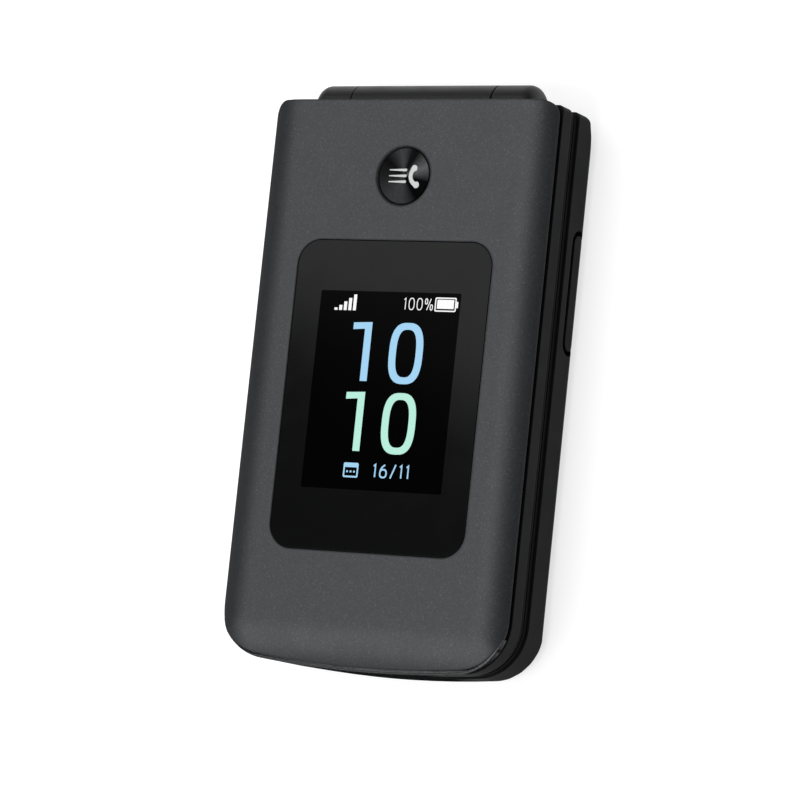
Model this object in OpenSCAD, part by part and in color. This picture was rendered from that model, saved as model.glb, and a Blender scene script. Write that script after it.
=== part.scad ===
// Flip phone, closed and lying on its back. The hinge is at +Y, the screen side faces +Z.
// The origin is the centre of the closed phone's footprint, on the surface it lies on.

/* [Body] */
// Width of the phone
body_w = 56.8; // [54:0.1:60]
// Length over the hinge barrel
body_l = 105.1; // [104.6:0.1:112]
// Thickness when closed
body_t = 18; // [18:0.1:19]
// Thickness of the base up to its keypad face
base_t = 9.35; // [9.35:0.05:9.6]
// Gap between the closed faces of lid and base
close_gap = 0.3; // [0.2:0.05:0.4]
// Rise of the bowed bottom end from its middle to its sides
bottom_bow = 2.1; // [1:0.1:3]
// Corner radius at the bottom end
corner_r = 9.5; // [7:0.5:11]
// Corner radius at the hinge end
hinge_corner_r = 1; // [0.6:0.1:1.5]
// Corner radius of the cover at the hinge end
cover_corner_r = 2.8; // [2:0.1:3.5]

/* [Lid] */
// Distance that the sides of the cover roll off over
roll_w = 6; // [5:0.5:7]
// Height of the upright edge below the cover's roll
cover_edge = 0.12; // [0.1:0.02:0.3]
// Radius of the gentle roll at the bottom of the cover
end_roll_r = 16; // [14:1:20]
// Length of the gentle roll at the bottom of the cover
end_roll_l = 8.45; // [7:0.25:8.75]
// Radius of the roll across the bottom corners
corner_roll_r = 13.3; // [12:0.5:16]
// Length of the roll across the bottom corners
corner_roll_l = 6.5; // [5.5:0.5:7]
// Wall of the cover
cover_wall = 0.9; // [0.8:0.05:1]
// Width of the bright lip round the bottom of the cover
trim_w = 0.7; // [0.5:0.05:0.7]
// Width of the dark joint between cover and lip
trim_seam = 0.28; // [0.2:0.02:0.3]
// Depth of the groove between cover and lid housing
groove_d = 1.1; // [1:0.05:1.3]
// Height of the groove between cover and lid housing
groove_h = 1.13; // [1:0.05:1.2]
// Height of the lid housing's outer band
band_h = 3.25; // [3:0.05:3.3]
// Wall of the lid housing
lid_wall = 1.5; // [1.3:0.1:1.6]
// How far the lid reaches past the hinge axis
lid_reach = 0.35; // [0.2:0.05:0.4]
// Inset of the black faces from the outline
face_inset = 0.35; // [0.3:0.05:0.5]

/* [Screens] */
// Width of the outer glass
window_w = 38.7; // [36:0.1:40]
// Length of the outer glass
window_l = 54.8; // [52:0.1:57]
// Corner radius of the outer glass
window_r = 4.3; // [3.5:0.1:5]
// Gap round the outer glass
window_gap = 0.15; // [0.1:0.05:0.25]
// Place of the outer glass's centre along the phone
window_y = -4.4; // [-5:0.1:-3]
// Thickness of the outer glass
glass_t = 0.8; // [0.7:0.05:0.9]
// Width of the outer display module
outer_lcd_w = 31.5; // [30:0.5:33]
// Length of the outer display module
outer_lcd_l = 41.5; // [40:0.5:44]
// Place of the outer display's centre along the phone
outer_lcd_y = -3.5; // [-4.5:0.1:-2.5]
// Thickness of the outer display module
outer_lcd_t = 1.6; // [1.4:0.1:1.6]
// Width of the inner glass
main_glass_w = 49.5; // [46:0.5:50]
// Length of the inner glass
main_glass_l = 66; // [62:0.5:68]
// Width of the inner display module
main_lcd_w = 46; // [44:0.5:46]
// Length of the inner display module
main_lcd_l = 61; // [58:0.5:61]
// Thickness of the inner display module
main_lcd_t = 2.2; // [2:0.1:2.3]

/* [Call button] */
// Radius of the button's cap
button_r = 4.95; // [4.5:0.05:5.2]
// Distance from the hinge axis to the button's centre
button_back = 13.35; // [12.5:0.1:14]
// Depth of the button's face below the cover
button_recess = 0.35; // [0.2:0.05:0.5]
// Travel of the button
button_travel = 0.35; // [0.25:0.05:0.35]

/* [Hinge] */
// Radius of the hinge barrel
barrel_r = 4.5; // [4.4:0.05:4.6]
// Left end of the barrel
barrel_left = -22.6; // [-24:0.1:-21.5]
// Right end of the barrel
barrel_right = 21.5; // [21:0.1:23]
// Left joint of the barrel
seam_left = -14.75; // [-16:0.1:-14]
// Right joint of the barrel
seam_right = 13.5; // [13:0.1:14.5]
// Width of the left joint
seam_left_w = 0.2; // [0.15:0.05:0.3]
// Width of the right joint
seam_right_w = 0.3; // [0.2:0.05:0.4]
// Rounding of the barrel's ends
barrel_round = 2.2; // [1.5:0.1:2.4]
// Radius of the hollow pin at the left
pin_r = 2; // [1.8:0.1:2.2]
// Radius of the hinge canister at the right
canister_r = 3.1; // [2.8:0.1:3.2]
// Radius of the cam's journal
journal_r = 1.8; // [1.6:0.1:2]
// Across-flats size of the cam's square head
cam_head = 4.2; // [3.8:0.1:4.6]

/* [Keys] */
// Rib of the frame between two key columns
column_rib = 1.4; // [1.2:0.1:1.8]
// Rib of the frame between two number rows
row_rib = 1.2; // [1:0.1:1.6]
// Border between the keys and the sides of the phone
key_border = 4.2; // [4:0.1:4.6]
// Room below the last row of keys
key_end_room = 13.05; // [13:0.05:14]
// Length of the keys in the call row
call_key_l = 7.6; // [7:0.1:8]
// Rib of the frame between the navigation ring and the keys beside it
ring_rib = 2.5; // [2.3:0.1:3]
// Length of the keys beside the navigation ring
side_key_l = 8.8; // [8:0.1:9]
// Outer radius of the navigation ring
ring_r = 9.6; // [9:0.1:9.8]
// Radius of the centre key
ok_r = 4.2; // [3.8:0.1:4.5]
// Gap round each key in its opening
key_gap = 0.2; // [0.15:0.05:0.25]
// Travel of a key
key_travel = 0.3; // [0.2:0.05:0.3]

/* [Base] */
// Wall of the rear housing
base_wall = 1.5; // [1.3:0.1:1.7]
// Thickness of the keypad frame
frame_t = 1.2; // [1.1:0.05:1.3]
// Rounding of the long back edges
back_round = 3.5; // [3:0.1:4]
// Rounding of the back at the hinge end
end_round = 3; // [2.5:0.1:3.5]
// Radius of the gentle rise of the back towards the hinge
back_rise_r = 58; // [56:1:80]
// Length of the gentle rise of the back
back_rise_l = 21.4; // [19:0.2:23]
// Thickness of the battery cover
batt_cover_t = 1; // [0.9:0.05:1.1]
// Width of the battery cover
batt_cover_w = 47; // [44:0.5:48]
// Width of the battery
batt_w = 36; // [32:0.5:38]
// Room between the battery and the hinge end of the base's cavity
batt_end_room = 27.25; // [27:0.25:29]
// Thickness of the battery
batt_t = 4.1; // [3.8:0.1:4.2]
// Thickness of a circuit board
board_t = 0.8; // [0.7:0.05:0.9]

/* [Volume key] */
// Length of the volume key
volume_l = 20.4; // [17:0.2:22]
// Width of the volume key
volume_w = 3.2; // [2.8:0.1:3.4]
// Place of the volume key's centre along the phone
volume_y = 16.8; // [14:0.2:18]
// Width of the dished gap round the volume key
volume_dish = 0.9; // [0.6:0.1:1]
// Depth of the dished gap round the volume key
volume_dish_d = 1.2; // [0.8:0.1:1.5]

/* [Fits] */
// Clearance between pieces that lie against each other
fit = 0.1; // [0.08:0.01:0.15]
// Running clearance on the hinge's round pieces
run_fit = 0.05; // [0.03:0.01:0.08]
// Room round the turning parts of the barrel
swing_gap = 0.3; // [0.25:0.05:0.4]

/* [Hidden] */
$fn = 64;
bow_fn = 720;
tiny = 0.01;
lap = 0.05;
corner_lap = 0.25;
far = 200;
usb_l = 7;

half_w = body_w / 2;
y_bottom = -body_l / 2;
hinge_y = body_l / 2 - barrel_r;
hinge_z = base_t + close_gap / 2;
lid_z0 = base_t + close_gap;

// Heights in the lid
bezel_t = 1.55;
bezel_z1 = lid_z0 + bezel_t;
band_z1 = bezel_z1 + band_h;
cover_z0 = band_z1 + groove_h;
shoulder_z1 = cover_z0 - 0.08;
roll_r = arc_r(roll_w, body_t - cover_z0 - cover_edge);
lid_end = hinge_y + lid_reach;
trim_out = 0.15;
lid_y0 = y_bottom + trim_out;
cover_y0 = lid_y0 + trim_w;
roll_edge = half_w - roll_w;
end_roll_y = cover_y0 + end_roll_l - trim_w;
corner_mid = (half_w + abs(lid_y0)) / sqrt(2) - corner_r * (sqrt(2) - 1);
corner_roll_d = corner_mid - corner_roll_l;
lid_inner = groove_d + lid_wall;
bridge_y = hinge_y - barrel_r - 1;
button_y = hinge_y - button_back;
glass_z0 = body_t - glass_t;
lcd_z0 = glass_z0 - fit - outer_lcd_t;
pad_z0 = glass_z0 - 0.8;
button_top = body_t - button_recess;
main_lcd_z0 = bezel_z1 + 0.05;
lid_board_z0 = main_lcd_z0 + main_lcd_t + 0.65;
lid_board_z1 = lid_board_z0 + board_t;
button_dome_t = 0.2;
main_y = -3;

// Heights in the base
frame_z0 = base_t - frame_t;
board_z0 = 6;
board_z1 = board_z0 + board_t;
dome_t = 0.25;
mat_z0 = board_z1 + dome_t + 0.05;
mat_t = 0.3;
mat_z1 = mat_z0 + mat_t;
key_z0 = mat_z1 + key_travel + 0.05;
key_top = base_t + 0.1;
tray_z1 = board_z0 - 0.1;
batt_z0 = batt_cover_t + fit;
tray_z0 = batt_z0 + batt_t + fit;
back_rise_y = hinge_y - back_rise_l;
base_end = hinge_y + 0.1;
cavity_end = hinge_y - barrel_r - swing_gap - 1;
batt_y0 = y_bottom + usb_l + 6.55;
batt_l = cavity_end - batt_end_room - batt_y0;
batt_y = batt_y0 + batt_l / 2;
batt_cover_y0 = y_bottom + 6.05;
batt_cover_y1 = batt_y0 + batt_l + 7.5;
batt_cover_r = 4;

// Places of the keys
side_key_w = half_w - key_border + 0.3 - ring_r - ring_rib;
side_x = ring_r + ring_rib + side_key_w / 2;
soft_y = cavity_end - 2.95 - side_key_l / 2;
side_y = [soft_y, soft_y - side_key_l - 1.8];
ring_y = soft_y - 5.5;
call_y = ring_y - ring_r - 3.6 - call_key_l / 2;
keys_y0 = y_bottom + key_end_room;
keys_y1 = call_y - call_key_l / 2 - 2.1;
row_pitch = (keys_y1 - keys_y0 + row_rib) / 4;
key_l = row_pitch - row_rib;
col_pitch = (body_w - 2 * key_border + column_rib) / 3;
key_w = col_pitch - column_rib;
number_y0 = keys_y1 - key_l / 2;
crown_r = 55;
nav_rib_r = 0.3;

// Places of pieces in the hinge end of the base
speaker_x = 14.6;
speaker_y = cavity_end - 8.25;
speaker_r = 6.4;
camera_y = cavity_end - 11.25;
camera_r = 4;
camera_glass_t = 0.5;
camera_z0 = back_z(camera_y + camera_r, 0) + 0.1;
hinge_bay_l = 15.65;
motor_x = -14.5;
motor_y = cavity_end - 6.75;
motor_r = 3;
shield_w = 7;
shield_l = 5;
shield_h = 2.2;
shield_x = -16;
shield_y = cavity_end - 12.45;
sim_w = 4.4;
sim_l = 26;
sim_h = 1.6;
earpiece_w = 12;
earpiece_l = 5;
earpiece_h = 2.4;
usb_w = 8.94;
usb_h = 3.26;
usb_z = 4.2;
volume_z = 3.65;
volume_depth = 2.2;
nub_l = 0.6;
switch_t = 0.8;
switch_l = 0.75 * volume_l;
switch_w = 0.75 * volume_w;
switch_x0 = half_w - volume_depth - nub_l - 0.2 - switch_t;
side_bay_x = batt_w / 2 + 4.2;
contact_w = 9;

lid_screw_x = half_w - 4.4;
lid_screw_y = [bridge_y - 1.35, lid_y0 + 9.4];
base_screw_x = batt_cover_w / 2 - 2.5;
base_screw_y = [batt_cover_y1 - 3, batt_cover_y0 + 3];
bay_end = batt_y + batt_l / 2 + fit;
lid_screw_r = 0.7;
lid_screw_l = 2;
bumper_r = 2;
mat_y0 = y_bottom + 9.55;
ear_y = lid_y0 + 6.2;
canister_x0 = -3.5;
pin_x1 = -8.5;

// ---------- shared forms ----------

// Radius of an arc that rises by h over the half chord c
function arc_r(c, h) = (c * c + h * h) / (2 * h);

// Height of the corner arc's centre above the arc that bows the bottom end
function corner_cy(w, y0, rc) =
    y0 + arc_r(w, bottom_bow) - sqrt(pow(arc_r(w, bottom_bow) - rc, 2) - pow(w - rc, 2));

// Plan outline: bowed bottom end, round bottom corners, straight hinge end
module plan(w, y0, rc, y1, rt) {
    bow = arc_r(w, bottom_bow);
    cx = w - rc;
    cy = corner_cy(w, y0, rc);
    xt = cx * bow / (bow - rc);
    translate([-w, cy]) square([2 * w, y1 - rt - cy]);
    translate([-w + rt, y1 - 2 * rt]) square([2 * (w - rt), 2 * rt]);
    for (s = [-1, 1]) {
        translate([s * (w - rt), y1 - rt]) circle(rt);
        translate([s * cx, cy]) circle(rc);
    }
    intersection() {
        translate([0, y0 + bow]) circle(bow, $fn = bow_fn);
        translate([-xt, y0 - 1]) square([2 * xt, cy - y0 + 1 + tiny]);
    }
}

module lid_plan(i) {
    plan(half_w - i, lid_y0 + i, corner_r - i, lid_end, hinge_corner_r);
}

module cover_plan(i) {
    plan(half_w - i, cover_y0 + i, corner_r - trim_w - i, lid_end - i, cover_corner_r);
}

module base_plan(i, y1) {
    plan(half_w - i, y_bottom + i, corner_r - i, y1, hinge_corner_r);
}

// Plan of the base's cavity and what lies in it: as base_plan, with a straight bottom end
module cavity_plan(i, y1) {
    cx = half_w - corner_r;
    rc = corner_r - i;
    cy = corner_cy(half_w, y_bottom, corner_r);
    translate([-cx - rc, cy]) square([2 * (cx + rc), y1 - cy]);
    translate([-cx, cy - rc]) square([2 * cx, rc + tiny]);
    for (s = [-1, 1]) {
        translate([s * cx, cy]) circle(rc);
    }
}

// Section of a surface that is level up to x = a and then rolls down on radius r
module roll_section(a, r, i, both) {
    translate([both ? -a : -far, -far]) square([a + (both ? a : far), far + body_t - i]);
    for (s = both ? [-1, 1] : [1]) {
        translate([s * a, body_t - r]) circle(r - i, $fn = 180);
    }
}

// Everything below the cover's outer surface, moved in by i
module under_cover(i) {
    intersection() {
        rotate([90, 0, 0]) linear_extrude(2 * far, center = true)
            roll_section(roll_edge, roll_r, i, true);
        rotate([90, 0, -90]) linear_extrude(2 * far, center = true)
            roll_section(-end_roll_y, end_roll_r, i, false);
        rotate([90, 0, -45]) linear_extrude(2 * far, center = true)
            roll_section(corner_roll_d, corner_roll_r, i, false);
        rotate([90, 0, -135]) linear_extrude(2 * far, center = true)
            roll_section(corner_roll_d, corner_roll_r, i, false);
    }
}

module slab(z0, z1) {
    translate([0, 0, z0]) linear_extrude(z1 - z0) children();
}

module rounded_rect(w, l, r) {
    square([w - 2 * r, l], center = true);
    square([w, l - 2 * r], center = true);
    for (sx = [-1, 1], sy = [-1, 1]) {
        translate([sx * (w / 2 - r), sy * (l / 2 - r)]) circle(r);
    }
}

module plate(w, l, r, x, y, z0, z1) {
    translate([x, y, 0]) slab(z0, z1) rounded_rect(w, l, r);
}

// Cylinder along X about the hinge axis
module axle(r, x0, x1) {
    translate([x0, hinge_y, hinge_z]) rotate([0, 90, 0]) cylinder(h = x1 - x0, r = r);
}

// Barrel stretch with one rounded end, along X about the hinge axis
module round_ended_axle(r, x_seam, x_end, f) {
    dir = x_end > x_seam ? 1 : -1;
    len = abs(x_end - x_seam);
    translate([x_seam, hinge_y, hinge_z]) rotate([0, dir * 90, 0]) rotate_extrude() {
        square([r, len - f]);
        square([r - f, len]);
        translate([r - f, len - f]) intersection() {
            circle(f);
            square(f + tiny);
        }
    }
}

// Section above a level back face that ends at u = a and curves up there on radius f
module back_edge(u0, a, f, i) {
    translate([u0, i]) square([a - u0, far]);
    translate([u0, f]) square([a + f - i - u0, far]);
    translate([a, f]) circle(f - i);
}

// How far the base's outline reaches in the direction a degrees round from +X towards -Y
function corner_reach(a) =
    (half_w - corner_r) * abs(cos(a)) - corner_cy(half_w, y_bottom, corner_r) * sin(a) + corner_r;

// Prism that rounds the back edge of a bottom corner, a degrees round from +X
module corner_edge(a, i) {
    rotate([90, 0, -a]) linear_extrude(2 * far, center = true)
        back_edge(-far, corner_reach(a) - back_round + corner_lap, back_round, i);
}

// Outer form of the base, moved in by i: rounded back edges all round, back rising to the hinge
module base_form(i, h) {
    bow = arc_r(half_w, bottom_bow);
    end_cz = rise_at_end() + end_round;
    difference() {
        intersection() {
            slab(i, h) base_plan(i, base_end - i);
            rotate([90, 0, 0]) linear_extrude(2 * far, center = true) {
                back_edge(0, half_w - back_round + lap, back_round, i);
                mirror([1, 0]) back_edge(0, half_w - back_round + lap, back_round, i);
            }
            translate([0, y_bottom + bow, 0]) rotate_extrude($fn = bow_fn)
                back_edge(0, bow - end_round + lap, end_round, i);
            corner_edge(15, i);
            corner_edge(30, i);
            corner_edge(45, i);
            corner_edge(60, i);
            corner_edge(75, i);
            corner_edge(105, i);
            corner_edge(120, i);
            corner_edge(135, i);
            corner_edge(150, i);
            corner_edge(165, i);
        }
        // gentle rise of the back, then the rounding of its hinge end
        rotate([90, 0, 90]) linear_extrude(2 * far, center = true) difference() {
            translate([back_rise_y, -1]) square([back_rise_l + 10, 9]);
            translate([back_rise_y, back_rise_r - 0.005]) circle(back_rise_r - i, $fn = bow_fn);
        }
        rotate([90, 0, 90]) linear_extrude(2 * far, center = true) difference() {
            translate([base_end - i - end_round, -1]) square([end_round + 2, end_cz + 1]);
            translate([base_end - i - end_round + lap, end_cz]) circle(end_round);
        }
    }
}

function rise_at_end() =
    back_rise_r - sqrt(pow(back_rise_r, 2) - pow(base_end - end_round - back_rise_y, 2));

// Height of the back surface at y, moved in by i
function back_z(y, i) =
    y < back_rise_y ? i : back_rise_r - sqrt(pow(back_rise_r - i, 2) - pow(y - back_rise_y, 2));

// ---------- lid ----------

module lid_cover() {
    color([0.29, 0.29, 0.30]) difference() {
        union() {
            difference() {
                intersection() {
                    under_cover(0);
                    slab(cover_z0, body_t + 1) cover_plan(0);
                }
                intersection() {
                    under_cover(cover_wall);
                    slab(cover_z0 - 1, body_t) cover_plan(cover_wall);
                }
            }
            plate(window_w + 3, window_l + 3, window_r + 1, 0, window_y, pad_z0, glass_z0);
            translate([0, button_y, pad_z0]) cylinder(h = body_t - 0.5 - pad_z0, r = button_r + 1.3);
        }
        plate(window_w + 2 * window_gap, window_l + 2 * window_gap, window_r + window_gap, 0, window_y,
            glass_z0 - 0.05, body_t + 1);
        plate(outer_lcd_w + 2 * fit, outer_lcd_l + 2 * fit, 1, 0, outer_lcd_y, 10, body_t);
        translate([0, button_y, 10]) cylinder(h = 10, r = button_r + 0.15);
        translate([0, button_y, body_t - 0.4]) cylinder(h = 0.6, r1 = button_r + 0.15, r2 = button_r + 0.75);
    }
}

module lid_trim() {
    trim_z0 = cover_z0 - 0.6;
    color([0.42, 0.42, 0.43]) difference() {
        intersection() {
            slab(trim_z0, body_t) lid_plan(0);
            translate([-far, lid_y0 - 1, 0]) cube([2 * far, corner_r - 1, far]);
            under_cover(0.05);
        }
        slab(shoulder_z1, body_t + 1) translate([0, -trim_seam]) cover_plan(0);
        slab(trim_z0 - 1, shoulder_z1 + 0.05) lid_plan(groove_d - fit);
    }
}

module lid_housing() {
    color([0.14, 0.145, 0.15]) difference() {
        union() {
            intersection() {
                slab(bezel_z1, band_z1) plan(half_w, lid_y0, corner_r, hinge_y, hinge_corner_r);
                rotate([90, 0, -90]) linear_extrude(2 * far, center = true) lid_band_section();
            }
            slab(band_z1 - tiny, shoulder_z1)
                plan(half_w - groove_d, lid_y0 + groove_d, corner_r - groove_d, hinge_y, hinge_corner_r);
            axle(barrel_r, seam_left + seam_left_w / 2, seam_right - seam_right_w / 2);
        }
        difference() {
            slab(bezel_z1 - tiny, body_t) lid_plan(lid_inner);
            translate([-far, bridge_y, 0]) cube([2 * far, far, far]);
        }
        outer_knuckle_room();
        axle(canister_r + run_fit, canister_x0 - 0.2, seam_right);
        axle(pin_r + run_fit, seam_left - 1, canister_x0);
        // slot for the flexible circuit, from the barrel to the inside of the lid
        translate([pin_x1 + 1, bridge_y - 1, bezel_z1 + 0.1])
            cube([3, hinge_y - bridge_y + 1, 0.9]);
    }
    lid_bosses();
}

// Side section of the lid housing's band, with its front edge rounded at the bottom end
module lid_band_section() {
    r = 1;
    translate([-far, 0]) square([far - lid_y0 - r, far]);
    translate([-far, 0]) square([far - lid_y0, band_z1 - r]);
    translate([-lid_y0 - r, band_z1 - r]) circle(r);
}

// Screw bosses at the lid housing's corners, which also carry the lid's board
module lid_bosses() {
    color([0.14, 0.145, 0.15]) for (sx = [-1, 1], y = lid_screw_y) {
        translate([sx * lid_screw_x, y, 0]) difference() {
            slab(bezel_z1, lid_board_z0 - 0.05) {
                circle(1.6);
                translate([sx > 0 ? 0 : -2.4, -1.6]) square([2.4, 3.2]);
            }
            translate([0, 0, bezel_z1 - 1]) cylinder(h = 1 + lid_screw_l, r = lid_screw_r + 0.05);
        }
    }
}

// Room in the lid for the base's outer knuckles
module outer_knuckle_room() {
    axle(barrel_r + swing_gap, barrel_left - swing_gap, seam_left + seam_left_w / 2);
    axle(barrel_r + swing_gap, seam_right - seam_right_w / 2, barrel_right + swing_gap);
}

module lid_bezel() {
    glass_pocket = glass_t + 2 * fit;
    color([0.05, 0.05, 0.055]) difference() {
        slab(lid_z0, bezel_z1 - 0.02)
            plan(half_w - face_inset, lid_y0 + face_inset, corner_r - face_inset,
                hinge_y - face_inset, hinge_corner_r);
        axle(barrel_r + swing_gap, barrel_left - swing_gap, barrel_right + swing_gap);
        plate(main_glass_w + 2 * fit, main_glass_l + 2 * fit, 2, 0, main_y, lid_z0 - 1, lid_z0 + glass_pocket);
        plate(main_lcd_w - 1.6, main_lcd_l - 1.6, 1, 0, main_y, lid_z0, bezel_z1 + 1);
        translate([0, ear_y, lid_z0 - 1]) slab(0, 4) rounded_rect(9, 1.3, 0.6);
        for (sx = [-1, 1], y = lid_screw_y) {
            translate([sx * lid_screw_x, y, lid_z0 - 1]) cylinder(h = 2.05, r = bumper_r + fit);
            translate([sx * lid_screw_x, y, lid_z0]) cylinder(h = 4, r = lid_screw_r + 0.15);
        }
    }
}

module outer_window() {
    color([0.02, 0.02, 0.02])
        plate(window_w, window_l, window_r, 0, window_y, glass_z0, body_t - 0.03);
}

module outer_display() {
    color([0.1, 0.1, 0.12])
        plate(outer_lcd_w, outer_lcd_l, 0.8, 0, outer_lcd_y, lcd_z0, glass_z0 - fit);
}

module main_window() {
    color([0.02, 0.02, 0.02])
        plate(main_glass_w, main_glass_l, 2 - fit, 0, main_y, lid_z0 + fit, lid_z0 + fit + glass_t);
}

module main_display() {
    color([0.1, 0.1, 0.12])
        plate(main_lcd_w, main_lcd_l, 0.8, 0, main_y, main_lcd_z0, main_lcd_z0 + main_lcd_t);
}

module lid_board() {
    color([0.06, 0.25, 0.16]) slab(lid_board_z0, lid_board_z1) intersection() {
        lid_plan(lid_inner + 0.2);
        translate([-far, -far]) square([2 * far, far + bridge_y - 0.2]);
    }
}

module button_dome() {
    color([0.75, 0.75, 0.72]) translate([0, button_y, lid_board_z1])
        cylinder(h = button_dome_t, r = 2.2);
}

module earpiece() {
    color([0.2, 0.2, 0.22])
        plate(earpiece_w, earpiece_l, 1.6, 0, ear_y, bezel_z1, bezel_z1 + earpiece_h);
}

module lid_magnet() {
    color([0.6, 0.6, 0.62]) plate(5, 3, 0.4, 16, ear_y + 0.4, bezel_z1, bezel_z1 + 1.4);
}

module lid_screws() {
    head_z0 = lid_z0 + 0.5;
    head_t = 0.5;
    color([0.5, 0.5, 0.52]) for (sx = [-1, 1], y = lid_screw_y) {
        translate([sx * lid_screw_x, y, head_z0]) {
            cylinder(h = head_t, r = bumper_r - 0.4);
            cylinder(h = bezel_z1 + lid_screw_l - 0.1 - head_z0, r = lid_screw_r);
        }
    }
}

module lid_bumpers() {
    bumper_z0 = base_t + 0.06;
    color([0.07, 0.07, 0.07]) for (sx = [-1, 1], y = lid_screw_y) {
        translate([sx * lid_screw_x, y, bumper_z0])
            cylinder(h = lid_z0 + 0.45 - bumper_z0, r = bumper_r);
    }
}

module hinge_canister() {
    color([0.55, 0.55, 0.57]) difference() {
        axle(canister_r, canister_x0, seam_right - seam_right_w / 2 - 0.05);
        axle(journal_r + run_fit, 3.9, seam_right);
    }
}

module hinge_flex() {
    color([0.75, 0.45, 0.12]) difference() {
        axle(pin_r - 0.05, pin_x1 + 0.5, canister_x0 - 0.4);
        axle(pin_r - 0.55, pin_x1, canister_x0);
    }
}

// ---------- call button ----------

module call_button() {
    flange_z1 = pad_z0 - 0.05;
    flange_t = 0.4;
    stem_z0 = lid_board_z1 + button_dome_t + button_travel + 0.06;
    color([0.06, 0.06, 0.065]) translate([0, button_y, 0]) {
        translate([0, 0, flange_z1 - flange_t]) {
            cylinder(h = button_top - flange_z1 + flange_t, r = button_r);
            cylinder(h = flange_t, r = button_r + 0.8);
        }
        translate([0, 0, stem_z0]) cylinder(h = flange_z1 - stem_z0, r = 1.8);
    }
}

// ---------- base ----------

module rear_housing() {
    color([0.14, 0.145, 0.15]) difference() {
        union() {
            base_form(0, frame_z0 - 0.02);
            round_ended_axle(barrel_r, seam_left - seam_left_w / 2, barrel_left, barrel_round);
            round_ended_axle(barrel_r, seam_right + seam_right_w / 2, barrel_right, barrel_round);
        }
        // room for the lid's barrel
        axle(barrel_r + swing_gap, seam_left - seam_left_w / 2, seam_right + seam_right_w / 2);
        // sockets for the pin and the cam's square head
        axle(pin_r + 0.02, barrel_left + 2.4, seam_left);
        translate([seam_right, hinge_y - cam_head / 2 - 0.05, hinge_z - cam_head / 2 - 0.05])
            cube([5.4, cam_head + 0.1, cam_head + 0.1]);
        // upper cavity for board and keypad, above the tray
        slab(tray_z1, far) cavity_plan(base_wall, cavity_end);
        compartments();
        battery_bay();
        usb_cutout();
        volume_pocket();
        // loudspeaker slots and camera opening
        for (dx = [-4:2:4]) {
            translate([speaker_x + dx - 0.4, speaker_y - speaker_r / 2, -1]) cube([0.8, speaker_r, 5]);
        }
        translate([0, camera_y, -1]) cylinder(h = 6, r = camera_r - 1);
        translate([0, camera_y, -1]) cylinder(h = 1 + camera_z0 + camera_glass_t + 0.05, r = camera_r + fit);
        for (sx = [-1, 1], y = base_screw_y) {
            translate([sx * base_screw_x, y, -1]) cylinder(h = 1 + batt_cover_t + fit + 1.1, r = 1.6);
            translate([sx * base_screw_x, y, -1]) cylinder(h = 10, r = 0.85);
        }
    }
}

// Hollows that open into the upper cavity
module compartments() {
    y_mid = cavity_end - hinge_bay_l;
    intersection() {
        slab(back_z(speaker_y, 1.3), board_z0) translate([0, (y_mid + cavity_end) / 2])
            rounded_rect(2 * (half_w - 4.4), cavity_end - y_mid, 1);
        rotate([90, 0, 90]) linear_extrude(2 * far, center = true)
            translate([back_rise_y, back_rise_r]) circle(back_rise_r - 1.3, $fn = bow_fn);
    }
    for (s = [-1, 1]) {
        plate(5.2, batt_l + 2, 1, s * side_bay_x, batt_y, 2.3, board_z0);
    }
    // contact block's shaft and the recess of the volume switch
    translate([-contact_w / 2, bay_end - 1, 1.6]) cube([contact_w, 4, board_z0]);
    translate([switch_x0 - fit, volume_y - switch_l / 2 - fit, 2.3]) cube([2, switch_l + 2 * fit, board_z0]);
}

module battery_bay() {
    plate(batt_w + 2 * fit, batt_l + 2 * fit, 1, 0, batt_y, -1, tray_z0);
    plate(batt_cover_w + 2 * fit, batt_cover_y1 - batt_cover_y0 + 2 * fit, batt_cover_r + fit, 0,
        (batt_cover_y0 + batt_cover_y1) / 2, -1, batt_cover_t + fit);
}

module pill_yz(y, z, l, w, x0, x1) {
    translate([x0, y, z]) rotate([90, 0, 90]) linear_extrude(x1 - x0) {
        square([l - w, w], center = true);
        for (s = [-1, 1]) {
            translate([s * (l - w) / 2, 0]) circle(w / 2);
        }
    }
}

module usb_cutout() {
    translate([0, y_bottom - 1, usb_z]) rotate([-90, 0, 0]) linear_extrude(6) {
        square([usb_w + 0.2 - usb_h, usb_h + 0.2], center = true);
        for (s = [-1, 1]) {
            translate([s * (usb_w - usb_h) / 2, 0]) circle(usb_h / 2 + 0.1);
        }
    }
    plate(usb_w + 1.2, usb_l + 1, 0.5, 0, y_bottom + 1.2 + usb_l / 2 + 0.5, usb_z - usb_h / 2 - 0.3, board_z0);
}

module volume_pocket() {
    slot = 0.15;
    x_in = half_w - volume_depth - nub_l;
    pill_yz(volume_y, volume_z, volume_l + 2 * slot, volume_w + 2 * slot, x_in, half_w + 1);
    intersection() {
        pill_yz(volume_y, volume_z, volume_l + 2 * volume_dish, volume_w + 2 * volume_dish,
            half_w - 5, half_w + 1);
        difference() {
            translate([0, -far, 0]) cube([half_w + 1, 2 * far, 8]);
            base_form(volume_dish_d, frame_z0);
        }
    }
}

module battery_cover() {
    color([0.14, 0.145, 0.15]) difference() {
        plate(batt_cover_w, batt_cover_y1 - batt_cover_y0, batt_cover_r, 0,
            (batt_cover_y0 + batt_cover_y1) / 2, 0, batt_cover_t);
        // thumb notch at the end towards the hinge
        translate([0, batt_cover_y1 + 4.6, -1]) cylinder(h = 1.35, r = 6);
    }
}

module battery() {
    color([0.35, 0.36, 0.4]) plate(batt_w, batt_l, 1, 0, batt_y, batt_z0, batt_z0 + batt_t);
}

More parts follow.
